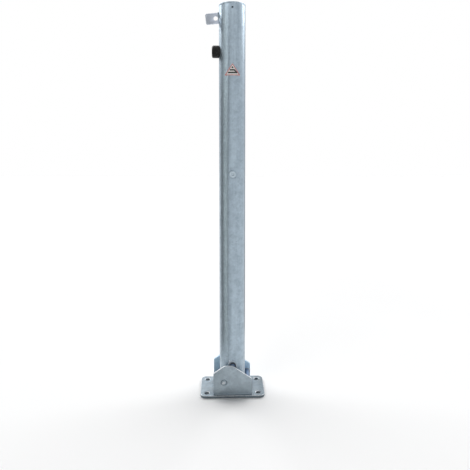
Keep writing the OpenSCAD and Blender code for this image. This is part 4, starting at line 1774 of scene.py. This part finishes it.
@dataclass
class Studio:
    """A white floor and wall-less studio with soft panels, and the camera."""

    floor_half: float = 6.0
    lens: float = 34.52
    sensor: float = 36.0
    shift_y: float = -0.128
    eye: tuple[float, float, float] = (-0.02227, -1.04136, 0.59809)
    pitch: float = 4.578
    yaw: float = -1.579
    fill: float = 0.12
    gleam: float = 0.85

    def build(self) -> None:
        """Builds the floor, the lights, the cards and the camera."""
        self.floor()
        self.sky()
        for panel in (
            Panel("panel_back_left", -131, 42, 42, 1.58),
            Panel("panel_back_right", 131, 42, 42, 1.62),
            Panel("panel_back", 180, 36, 50, 1.08),
            Panel("panel_front_left", -42, 38, 30, 0.36),
        ):
            panel.hang()
        for flag in (
            Flag("flag_side", -92, 0.15, 0.085, grey=0.10),
            Flag("flag_front", -30, 0.15, 0.062),
            Flag("flag_between", -62, 0.19, 0.21, grey=0.97),
            Flag("flag_back", 152, 0.30, 0.10),
        ):
            flag.stand()
        self.camera()

    def floor(self) -> None:
        """Lays the pale floor."""
        bm = bmesh.new()
        bmesh.ops.create_grid(bm, x_segments=1, y_segments=1, size=self.floor_half)
        obj = loose("studio_floor", bm)
        material, graph, shader, place = blank_material("studio_floor_paint")
        haze = graph.noise(place, 2.0, 2.0, 0.5)
        graph.join(graph.blend(haze, (0.90, 0.90, 0.90), (0.93, 0.93, 0.93)), shader.inputs["Base Color"])
        shader.inputs["Roughness"].default_value = 0.85
        shader.inputs["Specular IOR Level"].default_value = 0.2
        obj.data.materials.append(material)

    def sky(self) -> None:
        """Fills the studio with soft white light."""
        world = bpy.data.worlds.new("studio_fill")
        world.use_nodes = True
        world.node_tree.nodes.clear()
        graph = Graph(world.node_tree)
        path = graph.add("ShaderNodeLightPath")
        level = graph.add("ShaderNodeMix", {0: path.outputs["Is Glossy Ray"], 2: self.fill, 3: self.gleam},
                          data_type="FLOAT").outputs[0]
        seen = graph.add("ShaderNodeBackground", {"Color": (1, 1, 1, 1), "Strength": 1.0})
        fill = graph.add("ShaderNodeBackground", {"Color": (0.985, 0.99, 1.0, 1), "Strength": level})
        pick = graph.add("ShaderNodeMixShader", {0: path.outputs["Is Camera Ray"], 1: fill.outputs[0],
                                                 2: seen.outputs[0]})
        graph.add("ShaderNodeOutputWorld", {"Surface": pick.outputs[0]})
        world.cycles.sampling_method = "NONE"
        scene = bpy.context.scene
        scene.world = world
        scene.view_settings.view_transform = "Standard"
        scene.view_settings.look = "None"
        scene.view_settings.exposure = 0.0

    def camera(self) -> None:
        """Sets up the camera at a standing distance, a little over half the post's height."""
        data = bpy.data.cameras.new("studio_camera")
        data.lens, data.sensor_width, data.sensor_fit = self.lens, self.sensor, "HORIZONTAL"
        data.shift_y = self.shift_y
        data.dof.use_dof = False
        data.clip_start, data.clip_end = 0.05, 50
        obj = bpy.data.objects.new("studio_camera", data)
        obj.location = self.eye
        obj.rotation_euler = (math.radians(90 - self.pitch), 0, math.radians(self.yaw))
        bpy.context.scene.collection.objects.link(obj)
        bpy.context.scene.camera = obj


def main() -> None:
    """Builds the bollard and the studio."""
    logging.basicConfig(level=logging.INFO, format="%(name)s: %(message)s")
    looks = Finishes()
    for part in (Plinth, Post, EyeTab, Buffer, SidePlug, HazardLabel, KeyLock, ZincDrips):
        LOG.info("building %s", part.__name__)
        part(looks).build()
    Studio().build()


if __name__ == "__main__":
    main()
